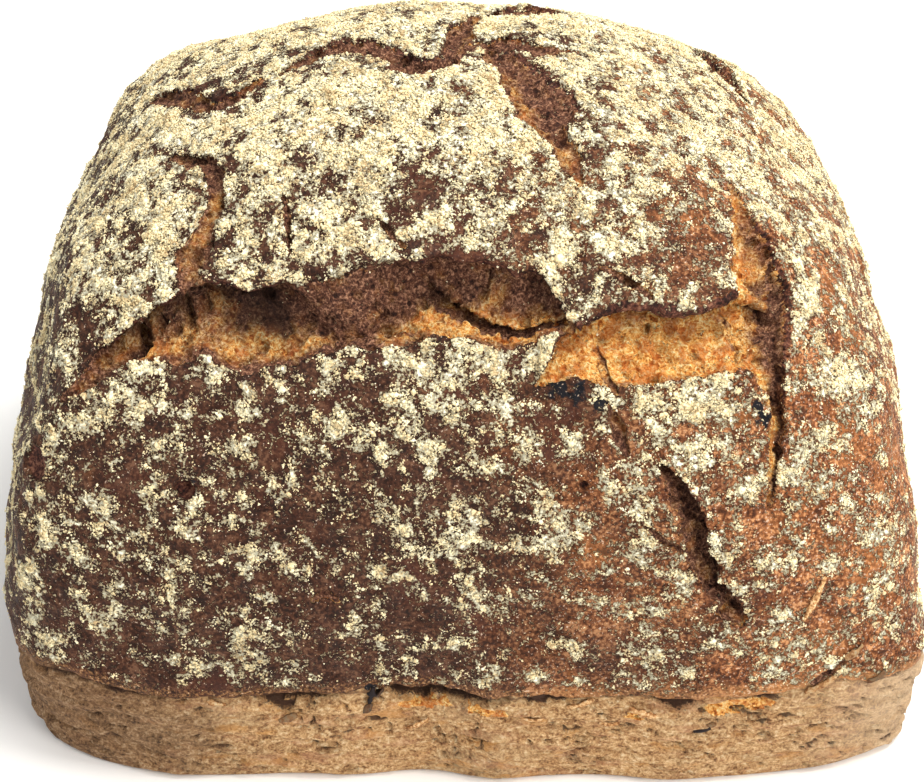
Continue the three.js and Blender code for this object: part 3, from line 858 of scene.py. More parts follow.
TEARS: tuple[Tear, ...] = (
    Tear(
        "shoulder_left",
        4.5,
        (
            Station(-58, -44, 80, 3, 2, 0.4, 0.6),
            Station(-55, -45.5, 82.8, 6, 4, 0.4, 0.6),
            Station(-46, -45.2, 86.6, 10, 5, 0.6),
            Station(-41, -45.2, 88, 12.5, 6, 0.52, 0.85),
            Station(-36, -46.8, 87, 13.5, 7.5, 0.5, 1),
            Station(-31, -46.8, 87.4, 13.5, 8, 0.5, 1),
            Station(-27, -46.2, 89.1, 12.5, 7, 0.5, 1, 0.5),
            Station(-22, -45.5, 90.1, 12.8, 6.5, 0.75, 0.9, 1),
            Station(-17, -45.3, 90.4, 13.2, 6.5, 0.75, 0.9, 1),
            Station(-12, -45.2, 90.5, 13.6, 6.5, 0.45, 0.9, 0.85),
            Station(-7, -44.3, 91.5, 12.5, 7, 0.25, 0.95, 0.55),
            Station(-2, -44.3, 91.8, 12.2, 7, 0.2, 0.9, 0.5),
            Station(4, -44.7, 91.2, 12.8, 6.5, 0.2, 0.85, 0.55),
            Station(9, -45.3, 90.4, 13.2, 6, 0.2, 0.85, 0.5),
            Station(13, -46, 90, 9, 4.5, 0.25, 0.9, 0.2),
            Station(16, -46.6, 89, 3.5, 3),
            Station(17.6, -47, 88.4, 1, 1),
        ),
        raggedness=1.15,
        rim=1.5,
        flap_lift=0.8,
        shadow=0.9,
    ),
    Tear(
        "shoulder_right",
        2.4,
        (
            Station(13.2, -51.2, 80.8, 1.5, 1.2, 0.1, 0.5),
            Station(15.5, -50.3, 82.6, 4.5, 2.2, 0.05, 0.3),
            Station(19, -49.1, 84.9, 10, 3.4, 0, 0.2),
            Station(24, -48.4, 85, 13.4, 4.2, 0, 0.25),
            Station(29, -47.6, 85.8, 14.4, 4.6, 0, 0.3),
            Station(34, -47.4, 85.6, 12.8, 4.6, 0, 0.3),
            Station(39, -46.8, 85.2, 11.4, 4.6, 0.05, 0.25),
            Station(44, -44.8, 86.2, 13, 4.2, 0.1, 0.15),
            Station(48, -42.5, 87, 10, 3.2, 0.15, 0.2),
            Station(50, -41.5, 87, 5, 2.4, 0.2, 0.3),
        ),
        section=ROLLED_SECTION,
        raggedness=0.8,
        rim=2.2,
        rim_start=0.66,
        rim_reach=0.97,
        flap_lift=1.3,
        shadow=0.3,
    ),
    Tear(
        "right_slot",
        0.9,
        (
            Station(45.5, -21, 99.5, 1.5, 0.8, 0.4, 0.6),
            Station(46.3, -27, 97.2, 4, 1.6, 0.3, 0.6, 0.4),
            Station(48.2, -32.5, 93.2, 8.5, 2.6, 0.1, 0.6, 0.5),
            Station(48.8, -37.5, 89.2, 10.5, 3.2, 0.1, 0.65, 0.55),
            Station(48.8, -42.5, 85.2, 10.5, 3.3, 0.15, 0.7, 0.55),
            Station(49.6, -46.6, 80.6, 7, 3.4, 0.2, 0.75, 0.3),
            Station(51, -49.4, 76.8, 4.2, 3.6, 0.3, 0.9),
            Station(51.8, -52, 72, 2.8, 2.8, 0.2, 0.9),
            Station(51.6, -55, 66.4, 1.9, 1.9, 0.2, 0.9),
            Station(51, -57, 60.5, 1, 1, 0.5, 0.9),
        ),
        raggedness=1.3,
        rim=0.6,
        shadow=0.25,
    ),
    Tear(
        "diagonal_split",
        1.0,
        (
            Station(33.5, -57, 66, 1.8, 1.8, 0.9, 0.9),
            Station(36, -58, 62, 4, 4.4, 0.95, 1),
            Station(38, -59, 57, 4.2, 5, 0.9, 1),
            Station(38.5, -60, 53, 2.8, 4, 0.7, 0.9),
            Station(41, -61, 48, 3.8, 4.4, 0.8, 1),
            Station(44, -61, 42, 4.2, 4, 0.9, 1),
            Station(46, -61, 38.5, 1.8, 1.6, 0.8, 0.9),
        ),
        raggedness=1.7,
    ),
    Tear(
        "shoulder_left_end",
        1.5,
        (
            Station(-54, -45, 83, 3, 3, 0.7),
            Station(-60, -45.5, 79.4, 4.2, 2.8, 0.6),
            Station(-63.5, -46.5, 76, 2.6, 1.6, 0.7),
            Station(-66, -46, 73, 1, 0.6, 0.9),
        ),
        flap_lift=0.3,
        shadow=0.3,
    ),
    Tear(
        "left_upright",
        1.0,
        (
            Station(-49, -18, 103, 2, 1, 0.9, 0.9),
            Station(-43, -23, 105, 3.5, 1.8, 0.9, 0.9, 0.3),
            Station(-41, -30, 102, 3.5, 1.8, 0.7, 0.9, 0.3),
            Station(-43, -34, 99, 3.4, 1.8, 0.65, 0.9, 0.3),
            Station(-45, -38, 95, 5.4, 1.8, 0.6, 0.7, 0.6),
            Station(-44.6, -41, 92, 4.5, 1, 0.8, 0.9, 0.8),
        ),
        raggedness=1.4,
        shadow=0.5,
    ),
    Tear(
        "crown",
        0.7,
        (
            Station(-31, -3, 111.6, 1.5, 0.7, 0.9, 0.9),
            Station(-23, 3, 113, 4.8, 1.2, 0.85, 0.9, 0.5),
            Station(-15, 2.5, 114, 5.6, 1.5, 0.8, 0.9, 0.5),
            Station(-9, -5, 113, 5.6, 2.6, 0.8, 1, 0.3),
            Station(-4.5, -5, 114, 4.8, 2.8, 0.8, 1, 0.3),
            Station(-2, 3, 114, 4, 1.6, 0.75, 0.9, 0.6),
            Station(-0.5, 10, 113, 4.8, 1.8, 0.7, 0.9, 0.6),
            Station(1, 17, 112, 3, 1, 0.7, 0.9, 0.5),
        ),
        raggedness=1.5,
        rim=0.7,
        shadow=0.2,
    ),
    Tear(
        "crown_branch",
        0.6,
        (
            Station(-2, 2, 114, 2, 0.9, 0.8, 0.9, 0.5),
            Station(5, 5, 114, 3.8, 1.2, 0.8, 0.9, 0.5),
            Station(13, 3, 113, 3.2, 1, 0.8, 0.9, 0.5),
            Station(19, 5, 112, 1, 0.5, 0.9),
        ),
        raggedness=1.4,
        rim=0.6,
        shadow=0.2,
    ),
    Tear(
        "oval",
        1.0,
        (
            Station(6, 0.5, 114, 5, 1.2, 0.8, 0.8, 0.5),
            Station(9.5, -5, 113.2, 9.6, 2.3, 0.7, 0.9, 0.6),
            Station(12.5, -11, 112, 11, 2.9, 0.55, 0.95, 0.6),
            Station(14.5, -16.5, 110.8, 9, 2.6, 0.5, 0.9, 0.5),
            Station(16, -21, 109.5, 4.4, 1.5, 0.6, 0.8, 0.5),
            Station(18, -26, 107, 3, 1.1, 0.5, 0.7, 0.5),
            Station(19, -29, 105.5, 1, 0.6, 0.6, 0.7),
        ),
        raggedness=1.4,
        rim=0.7,
        shadow=0.2,
    ),
    Tear(
        "left_crown",
        0.7,
        (
            Station(-57, 9, 101, 1.5, 0.7, 0.9),
            Station(-52, 3, 104, 4.8, 1.2, 0.9, 0.9, 0.5),
            Station(-47, -4, 107, 3.6, 1.4, 0.7, 0.9, 0.5),
            Station(-42, -7, 108.4, 5, 1.5, 0.9, 1, 0.4),
            Station(-36, -4, 110, 2, 0.8, 0.9),
        ),
        raggedness=1.5,
        rim=0.7,
        shadow=0.3,
    ),
    Tear(
        "far_rim",
        1.0,
        (
            Station(5, 20, 112, 2.5, 0.8, 0.8),
            Station(11, 22, 111, 6.5, 1.4, 0.7, 0.9, 0.7),
            Station(18, 23, 110, 2.5, 0.8, 0.8),
        ),
        raggedness=1.4,
        flap_lift=0.9,
    ),
    Tear(
        "right_crown_nick",
        1.0,
        (
            Station(42, 31, 99, 2, 1.2, 0.9, 0.9),
            Station(46, 23, 101, 6, 2.4, 0.85, 1, 0.6),
            Station(51, 15, 98, 2, 1.2, 0.9, 0.9),
        ),
        raggedness=1.4,
        flap_lift=1.5,
    ),
    Tear(
        "back_shoulder",
        3.0,
        (
            Station(27, 51, 88, 2, 1.5, 0.6),
            Station(18, 50, 91, 5, 3.4),
            Station(8, 51, 91, 9, 5, 0.7, 0.9, 0.5),
            Station(-6, 50, 92, 7, 5, 0.5, 0.9, 0.2),
            Station(-18, 49, 92, 9.5, 5.5, 0.4, 0.9, 0.6),
            Station(-30, 48, 90, 6, 4, 0.6),
            Station(-38, 50, 86, 2, 1.5, 0.7),
        ),
        raggedness=2.0,
        fine=False,
    ),
    Tear(
        "back_split",
        1.0,
        (
            Station(-22, 62, 70, 1.2, 2, 0.8, 0.9),
            Station(-25, 63, 62, 2.6, 4, 0.8, 0.9),
            Station(-24, 63, 54, 2.2, 4, 0.8, 0.9),
            Station(-28, 63, 46, 1.2, 2, 0.8, 0.9),
        ),
        raggedness=1.6,
        fine=False,
    ),
    Tear(
        "right_end",
        1.0,
        (
            Station(76, -10, 66, 1.5, 1.5, 0.9, 0.9),
            Station(75, 2, 70, 4, 2.8, 0.8, 0.9, 0.4),
            Station(74, 14, 71, 3.4, 2.8, 0.85, 0.9),
            Station(74, 25, 67, 1.5, 1.5, 0.9, 0.9),
        ),
        raggedness=2.2,
        fine=False,
    ),
    Tear(
        "left_end_split",
        1.0,
        (
            Station(-82, 8, 62, 1.2, 1.5, 0.9, 0.9),
            Station(-83, 14, 54, 2.6, 2.8, 0.9, 0.9),
            Station(-83, 13, 45, 2.2, 2.4, 0.9, 0.9),
            Station(-83, 18, 38, 1, 1.2, 0.9, 0.9),
        ),
        raggedness=1.8,
        fine=False,
    ),
)


def hairline(name: str, along: tuple[Triple, ...], end_depth: float, middle: tuple[float, float]) -> Tear:
    """A short, thin crack of three stations that is widest halfway.

    Args:
        name: its name.
        along: places of its start, its middle and its end.
        end_depth: its depth at both ends.
        middle: its width and depth halfway.

    Returns:
        The crack.
    """
    end_width, bake = 0.7, 0.9
    sizes = ((end_width, end_depth), middle, (end_width, end_depth))
    return Tear(name, 0.3, tuple(Station(*at, *size, bake) for at, size in zip(along, sizes)), raggedness=0.5)


# Narrow cracks, inside the wide tears and on their own.
CRACKS: tuple[Tear, ...] = (
    Tear(
        "under_the_island",
        1.6,
        (
            Station(-4.5, -43.6, 93.4, 1.4, 1.6, 0.9),
            Station(-1.5, -44.5, 92, 2.6, 3.4, 0.9),
            Station(2.5, -45.4, 90.6, 2.4, 3.4, 0.9),
            Station(6, -46.3, 89.6, 2.2, 3.5, 0.9),
            Station(10, -46.8, 88.8, 1.8, 3, 0.9),
            Station(15, -46.5, 88.6, 1.2, 2, 0.9),
        ),
        raggedness=0.5,
        flap_lift=0.9,
    ),
    Tear(
        "below_the_tongue",
        0.5,
        (
            Station(24.4, -53.6, 76.5, 0.9, 0.4, 0.9),
            Station(25.4, -54.4, 74, 2.2, 1.5, 0.9),
            Station(26.3, -55.2, 71, 2.3, 1.8, 1),
            Station(26.6, -55.5, 69.5, 0.8, 0.4, 1),
        ),
        raggedness=0.9,
        rim=0.5,
        flap_lift=0.2,
    ),
    Tear(
        "crumb_crease",
        0.6,
        (
            Station(22.6, -49.4, 84.5, 0.8, 0.5, 0.3),
            Station(23.6, -50.8, 82.3, 1.9, 1.1),
            Station(24.8, -52.1, 79.8, 1.1, 0.8, 0.6),
        ),
        raggedness=0.4,
        flap_lift=0.3,
    ),
    Tear(
        "flap_nick",
        0.4,
        (
            Station(23, -40.5, 95, 0.8, 0.6, 0.9),
            Station(27, -42, 94, 1.6, 0.9, 0.9),
            Station(30, -43, 92.6, 0.8, 0.5, 0.9),
        ),
        raggedness=0.4,
    ),
    Tear(
        "slot_back",
        0.4,
        (
            Station(52.5, -33, 92, 0.8, 1, 1),
            Station(53.4, -37, 89, 2.2, 2.2, 0.9),
            Station(52.8, -42, 86, 2, 2, 0.9),
            Station(52, -45, 83, 0.8, 1, 1),
        ),
        raggedness=0.5,
    ),
    hairline("left_flour_crack", ((-29.5, -32, 103.5), (-29, -35.5, 101), (-28.6, -38, 98)), 0.6, (1.3, 1.4)),
    hairline(
        "middle_flour_crack",
        ((-13.5, -35.5, 101), (-11.8, -37.3, 99.8), (-10, -39, 98.6)),
        0.5,
        (1.2, 0.9),
    ),
    hairline("right_edge_crack", ((51, 3, 97), (52.6, -2, 97), (53.5, -7, 95.5)), 0.6, (1.5, 1.4)),
    hairline("dull_crack", ((30, -59.5, 57), (33, -60, 54.6), (36, -60, 52.6)), 0.5, (1.2, 1.0)),
    Tear(
        "corner_crack",
        0.6,
        (
            Station(60, -61, 22.5, 0.8, 0.5, 0.8),
            Station(63.5, -61, 25, 1.7, 1.2, 0.8),
            Station(67, -60.5, 27.5, 0.8, 0.5, 0.8),
        ),
        raggedness=1.2,
    ),
    Tear(
        "blister_crescent",
        0.3,
        (
            Station(-24.6, -61.5, 43, 0.7, 0.4, 1),
            Station(-23, -61.5, 44.2, 1.3, 0.9, 1),
            Station(-21.4, -61.5, 43, 0.7, 0.4, 1),
        ),
        raggedness=0.4,
        rim=0.3,
    ),
)

BURST_BUBBLES: tuple[Spot, ...] = (
    Spot(-72, -48, 61, 3.2, 1.6),
    Spot(-46, -57, 62, 1.9, 2.2),
    Spot(20, -58, 64, 1, 1.4),
    Spot(37, -18, 104, 0.9, 1.2),
    Spot(36, 61, 60, 1.8, 1.8),
    Spot(-80, -10, 44, 1.7, 1.6),
    Spot(-46, -45, 87.5, 1.3, 2.2),
    Spot(-42.3, -47, 86, 0.7, 1.2),
    Spot(-54.5, -46, 83, 1.9, 2.6),
    Spot(-12.5, -47.4, 88, 1, 2),
    Spot(4, -43.5, 93.6, 1.1, 1.8),
    Spot(30, -47, 87, 0.9),
    Spot(38, -48, 84, 0.6, 0.8),
)

# Broad swellings: the crumb island in the long tear and the burnt knob below the tongue.
SWELLINGS: tuple[Spot, ...] = (
    Spot(5, -43.6, 93.2, 4.2, 1.9),
    Spot(18, -52.5, 79.6, 2.6, 0.9),
    Spot(21.5, -52.5, 78.6, 1.8, 0.6),
    Spot(-23, -61.5, 41, 3.4, 0.9),
)

BURNT_SPOTS: tuple[Spot, ...] = (
    Spot(15.6, -52.2, 79.4, 2.2),
    Spot(18.6, -52.6, 78.8, 2.5),
    Spot(22.4, -53.2, 77.4, 1.8, 0.9),
    Spot(48.3, -51, 75.6, 1.5),
    Spot(49.5, -52.2, 73.4, 1.8),
    Spot(-46, -57, 62, 2, 0.9),
    Spot(-72, -48, 61, 3.2, 0.8),
    Spot(-16, -62, 22.5, 1.5, 0.9),
)

# Patches with more flour than their surroundings, or less.
FLOUR_PATCHES: tuple[Spot, ...] = (
    Spot(1, -53, 77, 9, 0.1),
    Spot(-18, -54, 74, 9, -0.09),
    Spot(-2, -62, 38, 9, -0.2),
    Spot(-68, -41, 80, 10, -0.24),
    Spot(70, -42, 67, 12, -0.14),
    Spot(-55, -50, 78, 5, 0.1),
    Spot(50, -60, 46, 8, 0.1),
    Spot(31, -61, 46, 8, 0.08),
    Spot(16, -59, 59, 6, 0.1),
    Spot(37, -52, 77, 9, 0.24),
    Spot(15, -49, 85, 3.5, 0.6),
    Spot(-43, -53, 73, 10, -0.06),
    Spot(16, -55, 71, 9, -0.08),
    Spot(16, -51, 79, 5, -0.25),
    Spot(-27, -61, 50, 12, -0.06),
    Spot(39, -27, 101, 11, -0.2),
    Spot(37, -38, 95, 8, -0.3),
    Spot(26, -41, 96, 6, -0.12),
    Spot(22, -31, 103, 8, -0.06),
    Spot(1, -33, 105, 7, -0.12),
    Spot(-37, 0, 108, 9, -0.14),
    Spot(60, -25, 92, 9, -0.1),
    Spot(44, -36, 94, 3.5, 0.2),
    Spot(72, -20, 74, 16, -0.13),
    Spot(-32, -55.5, 68, 4.5, -0.25),
    Spot(-23, -62, 41, 3.6, -0.5),
    Spot(-52, -39, 92, 8, 0.06),
    Spot(-68, -57, 47, 9, 0.08),
    Spot(-22, -18, 111, 14, 0.08),
    Spot(-30, -38, 98, 9, -0.06),
    Spot(-4, -40, 98, 7, -0.22),
    Spot(-2, -12, 113, 16, 0.1),
    Spot(33, -12, 107, 12, 0.06),
    Spot(7, -42, 98, 6, -0.18),
)


# --------------------------------------------------------------- crust


@dataclass(frozen=True)
class CrustDome:
    """The domed crust: a fine skin with the tears folded in, rolled under at the lip and closed inside."""

    form: LoafForm
    shift: Array
    cells_wide: int = 112
    cells_deep: int = 94
    dome_rows: int = 56
    first_row_lift: float = 1.5
    lip_roll: tuple[tuple[float, float], ...] = (
        (0.1, -1.1),
        (0.55, -1.9),
        (1.3, -2.1),
        (2.2, -1.3),
        (5.0, 0.4),
    )
    lip_wobble: float = 0.8
    crumb_relief: float = 0.75
    pore_depth: float = 1.5
    tear_margin: float = 1.3
    fine_margin: float = 0.5
    spot_margin: float = 1.6
    side_cover: float = 0.36
    more_on_top: float = 0.32
    less_low_down: float = 0.04
    wide_clusters: float = 0.36
    clusters: float = 0.52
    seed: float = 3.0

    def flour_cover(self, points: Array, normals: Array) -> Array:
        """How much of the crust flour covers at each point, before its clusters.

        Args:
            points: points on the crust.
            normals: outward normals there.

        Returns:
            Shares from 0 to 1.
        """
        cover = self.side_cover + self.more_on_top * smooth(normals[:, 2], 0.2, 0.95)
        cover -= self.less_low_down * smooth(points[:, 2], 45.0, 25.0)
        for patch in FLOUR_PATCHES:
            cover += patch.amount * patch.weight(points)
        return np.clip(cover, 0.02, 0.92)

    def clustered(self, cover: Array, points: Array) -> Array:
        """Gathers cover into loose clusters; the finish and the grains fray them further.

        Args:
            cover: share of the crust that flour covers.
            points: points on the crust.

        Returns:
            How likely flour lies there, from 0 to 1.
        """
        wide = self.wide_clusters * fractal(points, 7.0, 2, 11.0)
        narrow = self.clusters * fractal(points, 2.7, 2, 12.0)
        return np.clip(cover + (wide + narrow), 0.0, 1.0)

    def rolled_lip(self, rims: Array, row: Array) -> Array:
        """Points of the rows that roll under the lip.

        Args:
            rims: places in plan, in whose directions the points lie.
            row: 0 for the innermost row, rising to the last one below the dome.

        Returns:
            Points, one a row.
        """
        lip = self.form.lip_points(rims, self.first_row_lift)
        steps = np.array(self.lip_roll)[len(self.lip_roll) - 1 - row]
        size = self.form.overhang(bearing_of(rims)) / self.form.lip_undercut
        waver = fractal(lip, 5.0, 4, self.seed) + 0.5 * fractal(lip, 1.6, 2, 2.0)
        wobble = self.lip_wobble * waver * (row > 0)
        inset = steps[:, 0] * np.where(steps[:, 0] > 3.0, 1.0, size)
        points = lip - level_ways(rims) * inset[:, None]
        points[:, 2] += steps[:, 1] + wobble
        return points

    def skin(self, grid: Array) -> Array:
        """Wraps grid points of the box round the loaf.

        Args:
            grid: points of the box, from -1 to 1.

        Returns:
            Points on the whole crust.
        """
        rows = len(self.lip_roll) + self.dome_rows
        row = np.rint((grid[:, 2] + 1.0) / 2.0 * rows).astype(int)
        climb = np.clip((row - len(self.lip_roll)) / self.dome_rows, 0.0, 1.0)
        rims = self.form.rims(grid[:, :2])
        rise = self.form.lip_rise(bearing_of(rims)) + self.first_row_lift
        z = np.tan(climb * math.pi / 4.0) * self.form.dome + rise * (1.0 - climb) ** 3
        points = self.form.crust(unit(np.column_stack([rims, z])))
        low = row < len(self.lip_roll)
        points[low] = self.rolled_lip(rims[low], row[low])
        return points

    def refine(self, shell: bmesh.types.BMesh) -> None:
        """Splits faces beside tears and spots in two each way, and again beside spots and fine tears."""
        every = TEARS + CRACKS
        fine = tuple(tear for tear in every if tear.fine)
        for tears, margin in ((every, self.tear_margin), (fine, self.fine_margin)):
            points = places(shell)
            close = TornSkin(self.form, points).beside(tears, margin)
            for spot in BURST_BUBBLES + BURNT_SPOTS:
                close |= spot.distance(points) < self.spot_margin
            shell.verts.index_update()
            edges = {e for f in shell.faces if any(close[v.index] for v in f.verts) for e in f.edges}
            bmesh.ops.subdivide_edges(shell, edges=list(edges), cuts=1, use_grid_fill=True)

    def crust_relief(self, base: Array) -> Array:
        """Height of the crust's own bumps and dents, before the tears."""
        bumps = 0.34 * fractal(base, 11.0, 3, 4.0) + 0.3 * fractal(base, 4.2, 3, 5.0)
        return bumps + 0.1 * fractal(base, 1.7, 2, 6.0)

    def crumb_relief_of(self, skin: TornSkin) -> Array:
        """Height of the torn crumb's own roughness and pores, whose hollows it notes for painted shade."""
        torn, deep = skin.masks[Mask.TORN], skin.masks[Mask.PAINTED_SHADE]
        inside = np.flatnonzero(torn > 0.02)
        spots = skin.points[inside]
        folds = 1.0 - 2.6 * np.abs(fractal(spots, 3.0, 3, 7.0))
        height = self.crumb_relief * (0.55 * folds + 0.55 * fractal(spots, 1.2, 2, 8.0))
        gap, chance = bubbles(spots, 2.9, 9.0)
        hole = np.sqrt(np.clip(1.0 - (gap / (0.16 + 0.34 * chance)) ** 2, 0.0, 1.0)) * (chance > 0.45)
        height -= self.pore_depth * chance * hole
        # Painted shade in the pores' hollows.
        deep[inside] = np.maximum(deep[inside], 0.75 * hole * torn[inside])
        total = np.zeros(len(torn))
        total[inside] = height * torn[inside]
        return total

    def burn(self, skin: TornSkin) -> None:
        """Notes the burnt spots."""
        uneven = 0.8 * fractal(skin.base, 1.5, 3, 13.0) - 0.4
        for spot in BURNT_SPOTS:
            weight = spot.weight(skin.base)
            burnt = np.clip(1.6 * weight + uneven, 0.0, 1.0) * spot.amount * (weight > 0.02)
            skin.masks[Mask.CHAR] = np.maximum(skin.masks[Mask.CHAR], burnt)

    def flour(self, skin: TornSkin, normals: Array) -> Array:
        """Notes where flour lies and works out how thick.

        Args:
            skin: the torn skin.
            normals: outward normals before the tears.

        Returns:
            Thickness from 0 to 1, one a point.
        """
        bare = 1.0 - skin.masks[Mask.TORN]
        cover = self.flour_cover(skin.base, normals)
        dust = self.clustered(cover, skin.base) * (0.04 + 0.96 * bare)
        dust *= (1.0 - 0.8 * skin.masks[Mask.CHAR]) * smooth(skin.base[:, 2], 20.0, 25.0)
        dust *= 1.0 - 0.8 * smooth(skin.masks[Mask.DARK_EDGE_AND_LIP_SHADE], 0.3, 0.8)
        lip = self.form.lip_points(skin.base[:, :2])[:, 2]
        skin.masks[Mask.LIP] = smooth(skin.base[:, 2], lip + 5.0, lip + 0.5)
        skin.masks[Mask.DUST] = dust
        return smooth(dust, 0.45, 0.85)

    def build(self) -> bpy.types.Object:
        """Builds the crust.

        Returns:
            The piece, with its masks.
        """
        shell = wrapped_box((self.cells_wide, self.cells_deep, len(self.lip_roll) + self.dome_rows))
        drop_face(shell, -1.0)
        move_to(shell, self.skin(places(shell)))
        self.refine(shell)
        skin = TornSkin(self.form, places(shell))
        normals = outward_normals(shell, skin.base)
        skin.points += normals * self.crust_relief(skin.base)[:, None]
        for tear in TEARS + CRACKS:
            skin.fold(tear)
        for swelling in SWELLINGS:
            skin.points += normals * (swelling.amount * swelling.weight(skin.base))[:, None]
        for bubble in BURST_BUBBLES:
            skin.dent(bubble, normals)
        torn_normals = outward_normals(shell, skin.points)
        self.burn(skin)
        height = self.crumb_relief_of(skin)
        height += 0.5 * skin.masks[Mask.CHAR] * fractal(skin.base, 0.9, 2, 14.0)
        height += 0.28 * self.flour(skin, normals) * (0.6 + fractal(skin.base, 1.6, 2, 15.0))
        move_to(shell, skin.points + torn_normals * height[:, None] + self.shift)
        close_holes(shell)
        return as_object(shell, "torn_crust", skin.masks)


# ---------------------------------------------------------------- band


@dataclass(frozen=True)
class Opening:
    """A place along the front where bare crumb shows, as far below the lip as its drop."""

    x: float
    half_width: float
    height: float
    drop: float


@dataclass(frozen=True)
class LipGap:
    """A stretch along the front where a gap runs under the lip, sunk in and darkened with painted shade."""

    x: float
    half_width: float
    tall: float
    depth: float


@dataclass(frozen=True)
class TinBand:
    """The paler band that the tin held, with its level streaks, flaked pits and flat base."""

    form: LoafForm
    shift: Array
    cells_wide: int = 186
    cells_deep: int = 144
    rows: int = 46
    streak: Triple = (7.0, 7.0, 1.5)
    streak_height: float = 0.42
    ledge_height: float = 0.65
    crack_depth: float = 1.0
    pit_depth: float = 1.0
    base_pit: float = 0.5
    foot: float = 0.6
    hidden_top: float = 7.0
    openings: tuple[Opening, ...] = (
        Opening(-6.6, 4.6, 1.2, 4.9),
        Opening(4.2, 3.7, 1.1, 4.8),
        Opening(48.5, 6.6, 1.5, 3.7),
        Opening(31, 3, 0.8, 5.6),
    )
    gaps: tuple[LipGap, ...] = (
        LipGap(-60, 10, 2.6, 1),
        LipGap(-30, 8.5, 3.4, 2),
        LipGap(-4, 12, 4.4, 3.2),
        LipGap(15, 5.5, 2.6, 1.2),
        LipGap(38, 5, 3.4, 2),
        LipGap(53, 4.5, 2.9, 1.5),
    )

    def inset(self, height: Array, lip: Array, overhang: Array) -> Array:
        """How far the band's wall lies inside the lip's outline.

        Args:
            height: height above the base.
            lip: height of the lip there.
            overhang: how far the crust overhangs there.

        Returns:
            Insets, one a point.
        """
        stages = (0.0, 0.32, 0.6, 0.82)
        taper = self.form.band_taper * np.interp(height / lip, stages, (1.0, 0.75, 0.55, 0.4))
        risen = np.clip(height / self.form.base_chamfer, 0.0, 1.0)
        chamfer = self.form.base_chamfer * (1.0 - np.sqrt(risen))
        under = (overhang - taper) * smooth(height, lip - 4.5, lip - 1.8)
        tucked = np.interp(height - lip, (0.0, 3.0, self.hidden_top), (0.0, 0.7, 6.0))
        return taper + chamfer + np.maximum(under, -0.6) + tucked

    def skin(self, grid: Array) -> tuple[Array, Array, Array]:
        """Wraps grid points of the box round the band.

        Args:
            grid: points of the box, from -1 to 1.

        Returns:
            Points, their outward directions in plan, and the lip's height at each.
        """
        edge = np.maximum(np.abs(grid[:, :2]).max(axis=1), 1e-6)
        rims = self.form.rims(grid[:, :2] / edge[:, None])
        lip = self.form.lip_points(rims)
        bearings = bearing_of(rims)
        outward = level_ways(rims)
        share = (grid[:, 2] + 1.0) / 2.0
        stage = np.interp(share, (0.0, 0.04, 0.88, 1.0), (0.0, 1.0, 2.0, 3.0))
        height = self.foot * np.clip(stage, 0.0, 1.0)
        height += (lip[:, 2] - self.foot) * np.clip(stage - 1.0, 0.0, 1.0)
        height += self.hidden_top * np.clip(stage - 2.0, 0.0, 1.0)
        points = np.column_stack([lip[:, 0], lip[:, 1], height])
        low = np.clip(1.0 - height / lip[:, 2], 0, None)
        tuck = self.form.corner_tuck * self.form.cornerness(bearings) * low
        middle = bell(height - lip[:, 2] / 2.0, lip[:, 2] / 3.0)
        swell = middle * self.form.band_evenness * self.form.unevenness(points)
        inset = self.inset(height, lip[:, 2], self.form.overhang(bearings))
        points += outward * (swell - inset - tuck)[:, None]
        base = share < 0.001
        points[base, :2] *= edge[base, None]
        return points, outward, lip[:, 2]

    def relief(self, points: Array, lip: Array, masks: dict[Mask, Array]) -> Array:
        """Height of the band's streaks, ledges, pits and bared crumb, which it notes in the masks, with
        painted shade in the pits, cracks and gaps and under the lip.

        Args:
            points: points on the band.
            lip: height of the lip at each.
            masks: the masks.

        Returns:
            Heights, one a point.
        """
        streaks = fractal(points, self.streak, 4, 21.0)
        height = self.streak_height * streaks + 0.35 * fractal(points, (16.0, 16.0, 5.0), 3, 22.0)
        height += 0.22 * fractal(points, (2.2, 2.2, 1.2), 3, 28.0)
        lines = np.abs(fractal(points, (9.0, 9.0, 2.0), 3, 26.0))
        cracks = smooth(lines, 0.1, 0.02) * smooth(fractal(points, 9.0, 2, 27.0), 0.0, 0.15)
        height -= self.crack_depth * cracks
        pits = smooth(fractal(points, (4.0, 4.0, 1.6), 4, 23.0), 0.58, 0.7)
        ledges = smooth(fractal(points, (14.0, 14.0, 2.2), 3, 24.0), 0.08, 0.13)
        height += self.ledge_height * ledges - self.pit_depth * pits
        inside = smooth(points[:, 2], 0.2, 1.6)
        # Painted shade in the pits and cracks.
        masks[Mask.PAINTED_SHADE] = np.maximum(0.8 * pits, 0.75 * cracks) * inside
        # Painted shade under the lip's overhang, broken along the streaks.
        masks[Mask.DARK_EDGE_AND_LIP_SHADE] = smooth(points[:, 2], lip - 2.2, lip - 0.8) * (0.3 + 0.5 * (streaks > 0.05))
        front = smooth(points[:, 1], -50.0, -56.0)
        ragged = fractal(points, (3.0, 3.0, 1.6), 3, 29.0)
        for opening in self.openings:
            along = (points[:, 0] - opening.x) / opening.half_width
            down = (lip - opening.drop - points[:, 2]) / opening.height
            bare = smooth(along**2 + down**2 + 0.35 * ragged, 1.1, 0.85) * front
            height -= 0.4 * bare
            masks[Mask.TORN] = np.maximum(masks[Mask.TORN], bare)
        for gap in self.gaps:
            along = np.abs(points[:, 0] - gap.x) / gap.half_width + 0.25 * ragged
            edge = gap.tall * np.sqrt(np.clip(1.0 - along**2, 0.0, 1.0)) * (1.0 + 0.5 * ragged)
            # Painted shade in the gap under the lip, which is also sunk in.
            dark = smooth(lip - points[:, 2], edge + 0.25, edge - 0.45) * (edge > 0.2) * front
            height -= gap.depth * dark
            masks[Mask.TORN] *= 1.0 - dark
            for mask in (Mask.DARK_EDGE_AND_LIP_SHADE, Mask.PAINTED_SHADE):
                masks[mask] = np.maximum(masks[mask], dark)
        return height

